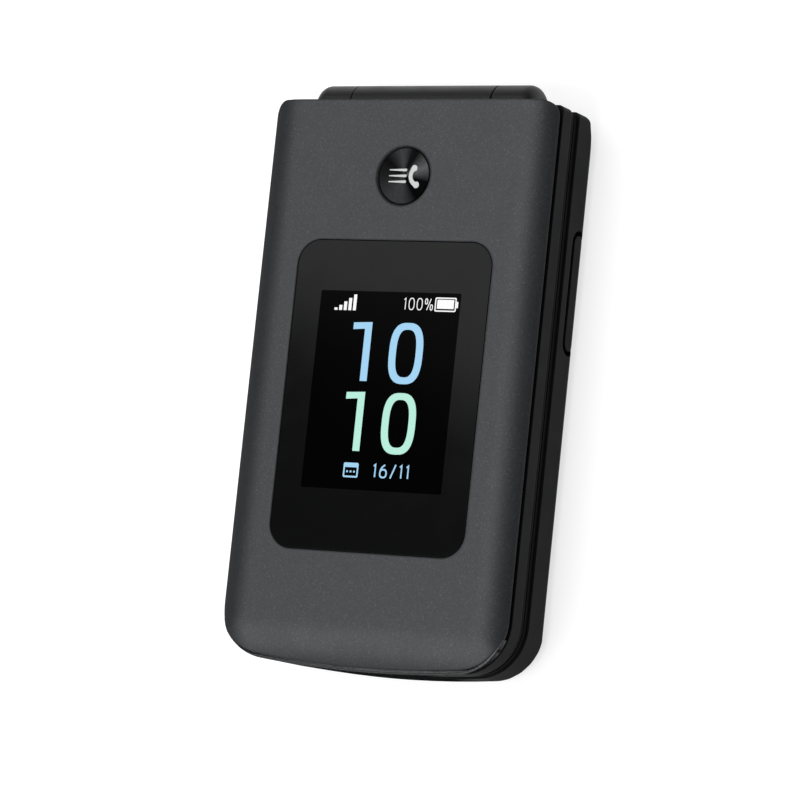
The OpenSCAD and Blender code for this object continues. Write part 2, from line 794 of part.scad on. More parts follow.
module keypad_frame() {
    color([0.05, 0.05, 0.055]) difference() {
        slab(frame_z0, base_t) base_plan(face_inset, hinge_y - face_inset);
        axle(barrel_r + swing_gap, barrel_left - swing_gap, barrel_right + swing_gap);
        translate([0, 0, frame_z0 - 1]) slab(0, frame_t + 2) key_openings();
        translate([0, y_bottom + 5.95, frame_z0 - 1]) cylinder(h = frame_t + 2, r = 0.5);
    }
}

module key_openings() {
    g = 2 * key_gap;
    for (row = [0:3], col = [-1:1]) {
        translate([col * col_pitch, number_y0 - row * row_pitch]) rounded_rect(key_w + g, key_l + g, 2);
    }
    for (col = [-1:1]) {
        translate([col * col_pitch, call_y]) rounded_rect(key_w + g, call_key_l + g, 2);
    }
    for (sx = [-1, 1], y = side_y) {
        translate([sx * side_x, y]) rounded_rect(side_key_w + g, side_key_l + g, 2);
    }
    translate([0, ring_y]) circle(ring_r + key_gap);
}

module main_board() {
    color([0.06, 0.25, 0.16]) slab(board_z0, board_z1) difference() {
        cavity_plan(base_wall + 0.3, cavity_end - 0.3);
        translate([half_w - base_wall - 4, volume_y - 11]) square([6, 22]);
    }
}

module key_domes() {
    color([0.75, 0.75, 0.72]) {
        for (row = [0:3], col = [-1:1]) {
            dome(col * col_pitch, number_y0 - row * row_pitch);
        }
        for (col = [-1:1]) {
            dome(col * col_pitch, call_y);
        }
        for (sx = [-1, 1], y = side_y) {
            dome(sx * side_x, y);
        }
        dome(0, ring_y);
        for (a = [0:90:270]) {
            dome((ring_r + ok_r) / 2 * cos(a), ring_y + (ring_r + ok_r) / 2 * sin(a), 1.4);
        }
    }
}

module dome(x, y, r = 2) {
    translate([x, y, board_z1]) cylinder(h = dome_t, r = r);
}

module keypad_mat() {
    color([0.16, 0.16, 0.17]) slab(mat_z0, mat_z1)
        translate([-half_w + 3, mat_y0]) square([body_w - 6, cavity_end - 0.5 - mat_y0]);
}

module shield_can() {
    color([0.65, 0.65, 0.67])
        plate(shield_w, shield_l, 0.4, shield_x, shield_y, board_z0 - shield_h, board_z0);
}

module sim_holder() {
    color([0.7, 0.7, 0.68])
        plate(sim_w, sim_l, 0.3, -side_bay_x, batt_y, board_z0 - sim_h, board_z0);
}

module battery_contacts() {
    color([0.85, 0.68, 0.3]) for (k = [-1:1]) {
        plate(1.4, 2.6, 0.3, k * 2.6, bay_end + 1.4, 2, board_z0);
    }
}

module loudspeaker() {
    color([0.12, 0.12, 0.13]) translate([speaker_x, speaker_y, back_z(speaker_y + speaker_r, 1.3) + 0.1])
        cylinder(h = board_z0 - back_z(speaker_y + speaker_r, 1.3) - 0.2, r = speaker_r);
}

module vibration_motor() {
    z0 = back_z(motor_y + motor_r, 1.3) + 0.6;
    color([0.6, 0.6, 0.62]) translate([motor_x, motor_y, z0]) cylinder(h = board_z0 - z0, r = motor_r);
}

module rear_camera() {
    z0 = camera_z0 + camera_glass_t + 0.2;
    color([0.1, 0.1, 0.1]) {
        plate(2 * camera_r, 2 * camera_r, 0.5, 0, camera_y, back_z(camera_y + camera_r, 1.3) + 0.15, board_z0);
        translate([0, camera_y, z0]) cylinder(h = 1.5, r = camera_r - 1.2);
    }
}

module camera_window() {
    color([0.03, 0.03, 0.03]) translate([0, camera_y, camera_z0])
        cylinder(h = camera_glass_t, r = camera_r);
}

module usb_port() {
    color([0.7, 0.7, 0.72]) translate([0, y_bottom + 0.6, usb_z]) rotate([-90, 0, 0]) {
        difference() {
            linear_extrude(usb_l) pill(usb_w, usb_h);
            translate([0, 0, -1]) linear_extrude(usb_l - 0.3) pill(usb_w - 0.6, usb_h - 0.6);
        }
        translate([-3.3, -0.35, 1]) cube([6.6, 0.7, usb_l - 1]);
    }
}

module pill(l, w) {
    square([l - w, w], center = true);
    for (s = [-1, 1]) {
        translate([s * (l - w) / 2, 0]) circle(w / 2);
    }
}

module base_screws() {
    z0 = batt_cover_t + fit + 0.05;
    color([0.5, 0.5, 0.52]) for (sx = [-1, 1], y = base_screw_y) {
        translate([sx * base_screw_x, y, z0]) {
            cylinder(h = 0.95, r = 1.4);
            cylinder(h = board_z0 - 0.2 - z0, r = 0.75);
        }
    }
}

module hinge_pin() {
    color([0.6, 0.6, 0.62]) difference() {
        axle(pin_r, barrel_left + 2.5, pin_x1);
        axle(pin_r - 0.8, barrel_left + 1, 0);
    }
}

module hinge_cam() {
    color([0.6, 0.6, 0.62]) {
        axle(journal_r, 4.2, seam_right + 0.3);
        translate([seam_right + 0.2, hinge_y - cam_head / 2, hinge_z - cam_head / 2])
            cube([5, cam_head, cam_head]);
    }
}

// ---------- volume key ----------

module volume_switch() {
    color([0.7, 0.7, 0.68])
        translate([switch_x0, volume_y - switch_l / 2, volume_z - switch_w / 2])
            cube([switch_t, switch_l, switch_w]);
}

module volume_key() {
    x_in = half_w - volume_depth;
    color([0.14, 0.145, 0.15]) {
        intersection() {
            pill_yz(volume_y, volume_z, volume_l, volume_w, x_in, half_w + 1);
            base_form(0, frame_z0);
        }
        for (s = [-1, 1]) {
            translate([x_in - nub_l, volume_y + s * 6, volume_z]) rotate([0, 90, 0])
                cylinder(h = nub_l + 0.1, r = 0.6);
        }
        // half-round rib that the key rocks on
        translate([x_in, volume_y, volume_z - switch_w / 2])
            cylinder(h = switch_w, r = x_in - switch_x0 - switch_t - fit);
    }
}

// ---------- keys ----------

// One key cap with a gently crowned top
module key_cap(x, y, w, l, r = 1.8) {
    color([0.2, 0.2, 0.21]) translate([x, y, 0]) intersection() {
        slab(key_z0, key_top + 1) rounded_rect(w, l, r);
        translate([0, 0, key_top - crown_r]) rotate([90, 0, 0])
            cylinder(h = 2 * l, r = crown_r, center = true, $fn = bow_fn);
    }
}

module number_key(row, col) {
    key_cap(col * col_pitch, number_y0 - row * row_pitch, key_w, key_l);
}

module nav_ring() {
    rib_x = ok_r + key_gap + 0.4;
    color([0.3, 0.3, 0.31]) translate([0, ring_y, 0]) {
        difference() {
            slab(key_z0, base_t) circle(ring_r);
            slab(0, far) circle(ok_r + key_gap);
        }
        // half-round ribs that the ring tilts on
        for (s = [-1, 1]) {
            translate([s * (rib_x + ring_r - 0.4) / 2, 0, key_z0]) rotate([0, 90, 0])
                cylinder(h = ring_r - 0.4 - rib_x, r = nav_rib_r, center = true);
        }
    }
}

module nav_ok() {
    color([0.2, 0.2, 0.21]) translate([0, ring_y, key_z0]) cylinder(h = key_top - key_z0, r = ok_r);
}

lid_cover();
lid_trim();
lid_housing();
lid_bezel();
outer_window();
outer_display();
main_window();
main_display();
lid_board();
button_dome();
earpiece();
lid_magnet();
lid_screws();
lid_bumpers();
hinge_canister();
hinge_flex();
call_button();
rear_housing();
battery_cover();
battery();
keypad_frame();
main_board();
key_domes();
keypad_mat();
shield_can();
sim_holder();
battery_contacts();
loudspeaker();
vibration_motor();
rear_camera();
camera_window();
usb_port();
base_screws();
hinge_pin();
hinge_cam();
volume_switch();
volume_key();
number_key(0, -1);  // key_1
number_key(0, 0);  // key_2
number_key(0, 1);  // key_3
number_key(1, -1);  // key_4
number_key(1, 0);  // key_5
number_key(1, 1);  // key_6
number_key(2, -1);  // key_7
number_key(2, 0);  // key_8
number_key(2, 1);  // key_9
number_key(3, -1);  // key_star
number_key(3, 0);  // key_0
number_key(3, 1);  // key_hash
nav_ring();
nav_ok();
key_cap(-side_x, side_y[0], side_key_w, side_key_l);  // soft_left
key_cap(side_x, side_y[0], side_key_w, side_key_l);  // soft_right
key_cap(-side_x, side_y[1], side_key_w, side_key_l);  // left_shortcut
key_cap(side_x, side_y[1], side_key_w, side_key_l);  // right_shortcut
key_cap(-col_pitch, call_y, key_w, call_key_l);  // send_key
key_cap(0, call_y, key_w, call_key_l);  // clear_key
key_cap(col_pitch, call_y, key_w, call_key_l);  // end_key
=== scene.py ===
"""Looks of the flip phone: the studio, the materials and the fine pieces on the CAD frame."""

import math

import bmesh
import bpy
from mathutils import Matrix, Vector


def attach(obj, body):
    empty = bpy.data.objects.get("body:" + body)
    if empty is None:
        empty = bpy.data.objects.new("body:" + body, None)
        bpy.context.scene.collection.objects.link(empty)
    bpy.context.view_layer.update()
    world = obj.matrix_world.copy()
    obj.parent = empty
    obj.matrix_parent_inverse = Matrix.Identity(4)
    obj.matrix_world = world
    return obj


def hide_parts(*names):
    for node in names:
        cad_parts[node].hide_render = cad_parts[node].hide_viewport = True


# Lengths are written in millimetres and turned into metres as a piece is made.
MM = 0.001

# Camera
CAMERA_PLACE = (310.6, -72.12, 562.76)
CAMERA_RIGHT = (0.87225, 0.10308, -0.47808)
CAMERA_UP = (-0.03823, 0.98892, 0.14346)
CAMERA_LENS = 163.0
SENSOR_WIDTH = 36.0

# Thickness of printed marks, how much thicker each crossing stroke of a mark is than the last,
# and how far marks stand off the face they are on
INK = 0.006
INK_STEP = INK / 8
INK_GAP = 0.004

# Corner of the smallest boxes
SMALL_CORNER = 0.05

# Numbers of steps along curves
CIRCLE_STEPS = 64
BOX_CORNER_STEPS = 8
SMALL_CORNER_STEPS = 2
STROKE_ARC_STEPS = 14
STROKE_END_STEPS = 12
HANDSET_STEPS = 24
FRONT_STEPS = 24
CORNER_STEPS = 18
SIDE_STEPS = 20
BACK_CORNER_STEPS = 8
BACK_STEPS = 16
ROLL_STEPS = 20
WINDOW_CORNER_STEPS = 12
TRIM_ROUND_STEPS = 4
WAVE_STEPS = 12
LENS_STEPS = 32

# Cover of the lid: its outline, its level face, and the rolls at its edges, each with the
# distance from the middle where it starts and its radius
COVER_HALF_WIDTH = 28.4
COVER_FRONT = -51.7
COVER_BACK = 48.4
COVER_BOW = 2.1
COVER_FRONT_CORNER = 8.8
COVER_BACK_CORNER = 2.8
COVER_TOP = 18.0
COVER_UNDERSIDE = 15.58
COVER_WALL = 0.9
SIDE_ROLL = (22.4, 8.976)
END_ROLL = (43.95, 16.0)
CORNER_ROLL = (46.7, 13.3)
ROLL_BLEND = 5
ROLL_REACH = 8.0
WINDOW_CENTRE = (0.0, -4.4)
WINDOW_WIDTH = 39.0
WINDOW_LENGTH = 55.1
WINDOW_CORNER = 4.45
WINDOW_DEPTH = 0.9
BUTTON_HOLE = 5.1
BUTTON_CHAMFER = 0.4

# Trim round the front of the cover: its outline, and the seam between it and the cover
TRIM_FRONT = -52.4
TRIM_CORNER = 9.5
TRIM_FOOT = 14.98
TRIM_SHOULDER = 15.1
TRIM_FOOT_WIDTH = 1.0
TRIM_SEAM = 0.28
TRIM_DROP = 0.05
TRIM_ROUNDING = 0.36
TRIM_END = -44.9

# Round front corners of the base's casing: its front, the corners' radius, the distance from
# their middle beyond which it is rounded, the widest step in degrees that stays, how often a wider
# one is halved, the slack in degrees at a corner's ends, and the distance of points that are merged
CASING_FRONT = -52.55
CASING_CORNER = 9.5
CASING_ROUND_FROM = 8.0
CASING_STEP = 4.0
CASING_HALVINGS = 2
CASING_SLACK = 0.1
CASING_MERGE = 0.001

# Outer screen and its clock
GLASS_TOP = 17.97
SCREEN_CENTRE = (0.0, -3.5)
SCREEN_WIDTH = 28.03
SCREEN_LENGTH = 35.04
SCREEN_CORNER = 0.3
STROKE = 1.4
ZERO_WIDTH = 6.7
ZERO_HEIGHT = 10.78
ZERO_CENTRE_X = 4.24
ZERO_POWER = 2.8
ONE_RIGHT = -3.0
ONE_WIDTH = 3.75
ONE_TOP_DROP = 0.05
ONE_FOOT_RISE = 0.28
FLAG_HEIGHT = 1.2
FLAG_DROP = 0.15
HOUR_BASE = -2.16
MINUTE_BASE = -14.5

# Small figures and symbols of the outer screen
DATE_LOW = (0.1, -18.75)
DATE_HIGH = (7.4, -16.25)
DATE_STROKE = 0.29
SHARE_LOW = (2.8, 10.9)
SHARE_HIGH = (8.65, 13.06)
SHARE_STROKE = 0.165
BAR_HEIGHTS = (0.42, 0.9, 1.55, 2.18, 2.83)
BAR_FIRST_X = -10.7
BAR_BASE = 10.55
BAR_PITCH = 0.93
BAR_WIDTH = 0.62
BATTERY_CENTRE = (11.1, 12.01)
BATTERY_WIDTH = 4.2
BATTERY_HEIGHT = 2.49
BATTERY_CORNER = 0.25
BATTERY_INNER_CORNER = 0.1
BATTERY_LINE = 0.225
CHARGE_RISE = 0.06
CHARGE_WIDTH = 3.3
CHARGE_HEIGHT = 1.6
KNOB_PLACE = 2.3
KNOB_WIDTH = 0.35
KNOB_HEIGHT = 1.1
CALENDAR_CENTRE = (-4.3, -17.6)
CALENDAR_WIDTH = 3.0
CALENDAR_HEIGHT = 2.6
CALENDAR_CORNER = 0.3
PAGE_CENTRE = (-4.3, -17.85)
PAGE_WIDTH = 2.4
PAGE_HEIGHT = 1.5
PAGE_CORNER = 0.1
DAY_PITCH = 0.7
DAY_SIZE = 0.35

# Call button: its place, its symbol, and the painted sheen of its face at each angle round its centre
BUTTON_CENTRE = (0.0, 34.7)
BUTTON_TOP = 17.65
BUTTON_HANDSET = (3.05, 34.75)
BUTTON_HANDSET_SIZE = 1.7
BUTTON_HANDSET_TURN = 192
BUTTON_BAR_LEFT = -2.9
BUTTON_BAR_RIGHT = 0.3
BUTTON_BAR_WIDTHS = (0.2, 0.5)
BUTTON_BAR_PITCH = 1.05
BUTTON_MARK_HEIGHT = 0.02
BUTTON_PAINTED_SHEEN = ((-180, 0.12), (-150, 0.25), (-120, 0.38), (-90, 0.4), (-70, 0.2), (-55, 0.02),
                (-12, 0.03), (5, 0.5), (20, 1.0), (40, 0.5), (60, 0.04), (75, 0.06), (90, 0.35),
                (102, 0.45), (120, 0.2), (140, 0.04), (180, 0.12))

# Handset symbol, as shares of its size: half the grip's turn in degrees, the share of the grip
# beyond which it swells, its width, and how much wider its cups are
GRIP_TURN = 62
GRIP_EVEN = 0.55
GRIP_WIDTH = 0.46
GRIP_SWELL = 0.26

# Materials: height of the fine grain, how much coarser the smears in the gloss are than the grain
# of the colour, the share of paint cells that get no painted glint, and the scale and dimmest level
# of the pixels of a lit screen
GRAIN_HEIGHT = 0.02
SMEAR_SIZE = 12
FLAKE_SHARE = 0.76
PIXEL_SCALE = 4500.0
PIXEL_DARK = 0.92

# Specular level that the shell gains along Y, from its dull front end to its sides and from there
# to the hinge barrel, and the stretch of Y over which it gains it
SHELL_SIDE_GLOSS = 0.03
SHELL_SIDE_RISE = (-52.0, -44.0)
SHELL_BARREL_GLOSS = 0.23
SHELL_BARREL_RISE = (48.4, 48.8)

# Studio, in metres and in units where 1 is white
WORLD_LIGHT = 0.15
LAMP_HEIGHT = 1.0
LAMP_X = -0.5
LAMP_WIDTH = 1.6
FLOOR_REACH = 20.0
FLOOR_PARTS = 8
FLOOR_COLOR = 0.45
FLOOR_ROUGHNESS = 0.9
FLOOR_GLOW = 0.7
CAMERA_REACH = 100.0

# Keys and the marks on them
KEY_TOP = 9.45
KEY_COLUMNS = 3
KEY_PITCH_X = 16.6
KEY_PITCH_Y = 11.8
KEY_ROW_1 = 1.2
CALL_ROW = 12.4
RING_CENTRE = (0.0, 29.4)
RING_TOP = 9.35
SIDE_KEY_X = 18.3
SOFT_ROW = 34.9
SHORTCUT_ROW = 24.3
LEGEND_STROKE = 0.42
LEGEND_HALF_WIDTH = 1.3
LEGEND_ONE_HALF_WIDTH = 0.75
LEGEND_HALF_HEIGHT = 1.9
SOFT_BAR_HALF = 2.0
SOFT_BAR_WIDTH = 0.6
CALL_HANDSET_SIZE = 2.1
SEND_HANDSET_SHIFT = (0.4, -1.3)
SEND_HANDSET_TURN = 135
END_HANDSET_SHIFT = (0.0, -1.7)
END_HANDSET_TURN = 90
CLEAR_TIP = -2.3
CLEAR_NECK = -1.2
CLEAR_HALF_WIDTH = 0.9
CLEAR_SHAFT = (-1.1, 2.1)
SPEAKER_SHIFT = -0.6
SPEAKER_BACK = -1.4
SPEAKER_NECK = -0.5
SPEAKER_MOUTH = 0.5
SPEAKER_SMALL = 0.6
SPEAKER_LARGE = 1.5
WAVE_SHIFT = 0.2
WAVE_REACHES = (1.3, 2.1)
WAVE_TURN = 38
WAVE_STROKE = 0.3
SNAP_WIDTH = 4.2
SNAP_HEIGHT = 3.0
SNAP_LINE = 0.35
SNAP_CORNER = 0.5
SNAP_INNER_CORNER = 0.2
SNAP_LENS = (0.85, 0.5)
SNAP_BUTTON_RISE = 1.72
SNAP_BUTTON_WIDTH = 1.3
SNAP_BUTTON_HEIGHT = 0.36
ARROW_TIP = 7.9
ARROW_FOOT = 6.9
ARROW_HALF_WIDTH = 0.75
OK_RING = (1.5, 1.1)

# Inside of the lid, and the camera on the back
INNER_GLASS_Z = 9.75
INNER_SCREEN_CENTRE = (0.0, -3.0)
INNER_SCREEN_WIDTH = 43.2
INNER_SCREEN_LENGTH = 57.6
EAR_SLOT_CENTRE = (0.0, -46.2)
EAR_GRILLE_Z = 9.9
GRILLE_WIDTH = 8.9
GRILLE_LENGTH = 1.2
GRILLE_CORNER = 0.55
GRILLE_INNER_CORNER = 0.35
GRILLE_LINE = 0.2
GRILLE_HEIGHT = 0.12
SLAT_CORNER = 0.02
SLAT_DROP = 0.02
SLAT_PITCH = 0.48
SLATS_PER_SIDE = 8
LENS_CENTRE = (0.0, 31.0)
LENS_Z = 0.7
LENS_RADIUS = 1.3
LENS_FLATNESS = 0.12
LENS_RINGS = ((2.75, 2.45), (1.9, 1.7))

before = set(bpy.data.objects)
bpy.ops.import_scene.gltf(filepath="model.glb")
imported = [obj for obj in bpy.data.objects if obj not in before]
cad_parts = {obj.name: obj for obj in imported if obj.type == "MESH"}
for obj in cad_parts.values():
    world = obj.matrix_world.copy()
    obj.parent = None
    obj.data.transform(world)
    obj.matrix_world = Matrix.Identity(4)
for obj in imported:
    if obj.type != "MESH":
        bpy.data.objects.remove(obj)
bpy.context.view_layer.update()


# ---- Materials ----

def link(material, source, output, target, socket):
    """Joins one node's output to another node's input."""
    material.node_tree.links.new(source.outputs[output], target.inputs[socket])


def add_node(material, kind, **values):
    """Adds a node and sets its inputs by name."""
    node = material.node_tree.nodes.new(kind)
    for name, value in values.items():
        node.inputs[name.replace("_", " ")].default_value = value
    return node


def mapped(material, source, output, low, high, start=0.35, end=0.65):
    """Turns a texture's grey value into a number between low and high."""
    node = add_node(material, "ShaderNodeMapRange", From_Min=start, From_Max=end, To_Min=low, To_Max=high)
    link(material, source, output, node, "Value")
    return node


def noise(material, place, grain, detail=3.0):
    """A noise texture whose grain is given in millimetres."""
    node = add_node(material, "ShaderNodeTexNoise", Scale=1.0 / (grain * MM), Detail=detail)
    link(material, place, "Object", node, "Vector")
    return node


def surface(name, color, roughness, metallic=0.0, specular=0.5, rim=1.0, tint=0.12, grain=0.4,
            rough_spread=0.06, bump=0.1, bump_grain=0.25, painted_flake_glint=0.0, flake_size=0.22, edge=0.15):
    """A moulded, painted or metal surface with a fine grain in its colour, gloss and height."""
    material = bpy.data.materials.new(name)
    material.use_nodes = True
    shader = material.node_tree.nodes["Principled BSDF"]
    shader.inputs["Metallic"].default_value = metallic
    shader.inputs["Specular IOR Level"].default_value = specular
    shader.inputs["Specular Tint"].default_value = (rim, rim, rim, 1)
    place = add_node(material, "ShaderNodeTexCoord")

    clouds = noise(material, place, grain)
    shade = mapped(material, clouds, "Fac", 1.0 - tint, 1.0 + tint)
    # Metal flakes in the paint: their glint is painted into the colour as random brighter cells
    if painted_flake_glint > 0:
        cells = add_node(material, "ShaderNodeTexVoronoi", Scale=1.0 / (flake_size * MM))
        link(material, place, "Object", cells, "Vector")
        painted_glint = mapped(material, cells, "Color", 0.0, painted_flake_glint, start=FLAKE_SHARE, end=1.0)
        total = material.node_tree.nodes.new("ShaderNodeMath")
        link(material, shade, "Result", total, 0)
        link(material, painted_glint, "Result", total, 1)
        shade_node, shade_output = total, "Value"
    else:
        shade_node, shade_output = shade, "Result"
    paint = material.node_tree.nodes.new("ShaderNodeVectorMath")
    paint.operation = "SCALE"
    paint.inputs[0].default_value = color
    link(material, shade_node, shade_output, paint, "Scale")
    link(material, paint, "Vector", shader, "Base Color")

    smears = noise(material, place, grain * SMEAR_SIZE)
    gloss = mapped(material, smears, "Fac", roughness - rough_spread, roughness + rough_spread)
    link(material, gloss, "Result", shader, "Roughness")

    texture = noise(material, place, bump_grain, detail=2.0)
    relief = add_node(material, "ShaderNodeBump", Strength=bump, Distance=GRAIN_HEIGHT * MM)
    link(material, texture, "Fac", relief, "Height")
    rounding = add_node(material, "ShaderNodeBevel", Radius=edge * MM)
    link(material, rounding, "Normal", relief, "Normal")
    link(material, relief, "Normal", shader, "Normal")
    return material


def glowing(name, color, strength):
    """A lit part of a screen, with the faint grid of its pixels."""
    material = surface(name, (0.01, 0.01, 0.01), 0.3, specular=0.1, tint=0.05, bump=0.02)
    shader = material.node_tree.nodes["Principled BSDF"]
    place = next(n for n in material.node_tree.nodes if n.type == "TEX_COORD")
    grid = add_node(material, "ShaderNodeTexNoise", Scale=PIXEL_SCALE, Detail=1.0)
    link(material, place, "Object", grid, "Vector")
    level = mapped(material, grid, "Fac", PIXEL_DARK, 1.0)
    glow = material.node_tree.nodes.new("ShaderNodeVectorMath")
    glow.operation = "SCALE"
    glow.inputs[0].default_value = color
    link(material, level, "Result", glow, "Scale")
    link(material, glow, "Vector", shader, "Emission Color")
    shader.inputs["Emission Strength"].default_value = strength
    return material


FINISHES = {
    "cover_paint": surface("cover_paint_finish", (0.052, 0.054, 0.0572), 0.46, metallic=0.8, specular=0.2,
                           rim=0.3, tint=0.06, grain=0.35, rough_spread=0.02, bump=0.12, bump_grain=0.3,
                           painted_flake_glint=0.75, flake_size=0.15, edge=0.6),
    "trim_metal": surface("trim_metal_finish", (0.11, 0.111, 0.114), 0.28, metallic=1.0, rim=0.08, bump=0.05,
                          edge=0.1),
    "shell_plastic": surface("shell_plastic_finish", (0.012, 0.0123, 0.013), 0.42, specular=0.03,
                             rough_spread=0.03, bump=0.2, bump_grain=0.2, edge=0.3),
    "black_plastic": surface("black_plastic_finish", (0.007, 0.007, 0.0074), 0.45, specular=0.02,
                             rough_spread=0.03, bump=0.1),
    "window_glass": surface("window_glass_finish", (0.0025, 0.0026, 0.0027), 0.12, specular=0.135, tint=0.02,
                            rough_spread=0.01, bump=0.0),
    "display_module": surface("display_module_finish", (0.02, 0.021, 0.024), 0.3, tint=0.05),
    "circuit_board": surface("circuit_board_finish", (0.01, 0.09, 0.035), 0.45, tint=0.25, grain=2.5),
    "dome_steel": surface("dome_steel_finish", (0.62, 0.62, 0.6), 0.3, metallic=1.0, bump=0.05),
    "button_black": surface("button_black_finish", (0.062, 0.0635, 0.066), 0.34, metallic=1.0, bump=0.02),
    "component_black": surface("component_black_finish", (0.015, 0.015, 0.016), 0.55, specular=0.3),
    "component_metal": surface("component_metal_finish", (0.5, 0.5, 0.49), 0.35, metallic=1.0),
    "screw_steel": surface("screw_steel_finish", (0.4, 0.4, 0.41), 0.3, metallic=1.0, bump=0.15),
    "hinge_steel": surface("hinge_steel_finish", (0.45, 0.45, 0.46), 0.28, metallic=1.0, bump=0.1),
    "rubber_black": surface("rubber_black_finish", (0.012, 0.012, 0.012), 0.8, specular=0.2, bump=0.3),
    "flex_amber": surface("flex_amber_finish", (0.5, 0.2, 0.03), 0.35, tint=0.2, grain=1.5),
    "contact_gold": surface("contact_gold_finish", (0.83, 0.6, 0.25), 0.25, metallic=1.0, bump=0.1),
    "battery_wrap": surface("battery_wrap_finish", (0.03, 0.03, 0.035), 0.5, bump=0.2, grain=3.0),
    "key_plastic": surface("key_plastic_finish", (0.02, 0.0205, 0.022), 0.4, specular=0.25, bump=0.15),
    "nav_plastic": surface("nav_plastic_finish", (0.06, 0.061, 0.064), 0.3, metallic=0.8, bump=0.05),
    "ok_plastic": surface("ok_plastic_finish", (0.02, 0.0205, 0.022), 0.3, specular=0.3, bump=0.1),
}

# The button's face is spun metal; its sheen is painted into its colour, in bright and dark fans that run out
# from its centre.
button_sheen_paint = FINISHES["button_black"]
middle = add_node(button_sheen_paint, "ShaderNodeMapping", Location=[-v * MM for v in BUTTON_CENTRE] + [0])
link(button_sheen_paint, button_sheen_paint.node_tree.nodes["Texture Coordinate"], "Object", middle, "Vector")
fan = button_sheen_paint.node_tree.nodes.new("ShaderNodeTexGradient")
fan.gradient_type = "RADIAL"
link(button_sheen_paint, middle, "Vector", fan, "Vector")
painted_sheen = button_sheen_paint.node_tree.nodes.new("ShaderNodeValToRGB")
stops = painted_sheen.color_ramp.elements
for i, (angle, level) in enumerate(BUTTON_PAINTED_SHEEN):
    stop = stops[i] if i < 2 else stops.new(1.0)
    stop.position = 0.5 + angle / 360
    stop.color = (level, level, level, 1)
link(button_sheen_paint, fan, "Fac", painted_sheen, "Fac")
shine = button_sheen_paint.node_tree.nodes.new("ShaderNodeVectorMath")
shine.operation = "MULTIPLY"
link(button_sheen_paint, button_sheen_paint.node_tree.nodes["Vector Math"], "Vector", shine, 0)
link(button_sheen_paint, painted_sheen, "Color", shine, 1)
link(button_sheen_paint, shine, "Vector", button_sheen_paint.node_tree.nodes["Principled BSDF"], "Base Color")

# The shell is dull at its front end, a little glossier at its sides, and glossy on the hinge barrel.
shell = FINISHES["shell_plastic"]
along = shell.node_tree.nodes.new("ShaderNodeSeparateXYZ")
link(shell, shell.node_tree.nodes["Texture Coordinate"], "Object", along, "Vector")
sides = mapped(shell, along, "Y", 0.0, SHELL_SIDE_GLOSS, *[y * MM for y in SHELL_SIDE_RISE])
barrel = mapped(shell, along, "Y", 0.0, SHELL_BARREL_GLOSS, *[y * MM for y in SHELL_BARREL_RISE])
gloss = shell.node_tree.nodes.new("ShaderNodeMath")
link(shell, sides, "Result", gloss, 0)
link(shell, barrel, "Result", gloss, 1)
link(shell, gloss, "Value", shell.node_tree.nodes["Principled BSDF"], "Specular IOR Level")

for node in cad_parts.values():
    for holder in node.material_slots:
        holder.material = FINISHES[holder.material.name.split(".")[0]]

SCREEN_BLACK = surface("screen_black", (0.0006, 0.0006, 0.0007), 0.12, specular=0.02, tint=0.02,
                       rough_spread=0.01, bump=0.0)
GLOW_WHITE = glowing("glow_white", (1.0, 1.0, 1.0), 1.0)
GLOW_BLUE = glowing("glow_blue", (0.37, 0.67, 0.92), 1.0)
GLOW_MINT = glowing("glow_mint", (0.49, 0.88, 0.73), 1.0)
ICON_GREY = surface("icon_grey", (0.55, 0.56, 0.56), 0.45, tint=0.04, bump=0.05)
LEGEND_WHITE = surface("legend_white", (0.75, 0.76, 0.76), 0.5, tint=0.04, bump=0.05)
LEGEND_GREEN = surface("legend_green", (0.05, 0.5, 0.12), 0.5, tint=0.04, bump=0.05)
LENS_GLASS = surface("lens_glass", (0.01, 0.008, 0.025), 0.05, tint=0.05, bump=0.0)
LEGEND_RED = surface("legend_red", (0.62, 0.03, 0.03), 0.5, tint=0.04, bump=0.05)


# ---- Shapes ----

def circle(x, y, radius, start=0.0, end=360.0, steps=CIRCLE_STEPS):
    """Points of a circle, or of an arc of it, in degrees."""
    whole = abs(end - start) >= 360.0
    count = steps if whole else steps + 1
    angles = [math.radians(start + (end - start) * i / steps) for i in range(count)]
    return [(x + radius * math.cos(a), y + radius * math.sin(a)) for a in angles]


def rounded_box(x, y, width, length, radius, steps=BOX_CORNER_STEPS):
    """Points of a rectangle with round corners about a centre."""
    points = []
    corners = ((1, 1, 0), (-1, 1, 90), (-1, -1, 180), (1, -1, 270))
    for side_x, side_y, start in corners:
        corner_x = x + side_x * (width / 2 - radius)
        corner_y = y + side_y * (length / 2 - radius)
        points += circle(corner_x, corner_y, radius, start, start + 90, steps)
    return points


def small_box(x, y, width, length):
    """Points of a small rectangle whose corners are only just broken."""
    return rounded_box(x, y, width, length, SMALL_CORNER, SMALL_CORNER_STEPS)


def oval(x, y, width, height, power=2.5):
    """Points of a squarish oval about a centre."""
    points = []
    for c, s in circle(0, 0, 1):
        reach = (abs(c) ** power + abs(s) ** power) ** (-1 / power)
        points.append((x + width / 2 * c * reach, y + height / 2 * s * reach))
    return points


def arc(x, y, reach_x, reach_y, start, end):
    """Points of a stretch of an oval, in degrees."""
    return [(x + px * reach_x, y + py * reach_y) for px, py in circle(0, 0, 1, start, end, STROKE_ARC_STEPS)]


def ribbon(path, widths, round_ends=False):
    """Outline of a stroke along a path, with a width at each of its points."""
    points = [Vector(p) for p in path]
    steps = [(b - a).normalized() for a, b in zip(points, points[1:])]
    left, right = [], []
    for i, point in enumerate(points):
        before = steps[max(i - 1, 0)]
        after = steps[min(i, len(steps) - 1)]
        along = (before + after).normalized()
        reach = widths[i] / 2 / max(along.dot(after), 0.5)
        across = Vector((-along.y, along.x)) * reach
        left.append(point + across)
        right.append(point - across)
    outline = [tuple(p) for p in left]
    if round_ends:
        outline += round_end(points[-1], steps[-1], widths[-1])
    outline += [tuple(p) for p in right[::-1]]
    if round_ends:
        outline += round_end(points[0], -steps[0], widths[0])
    return outline


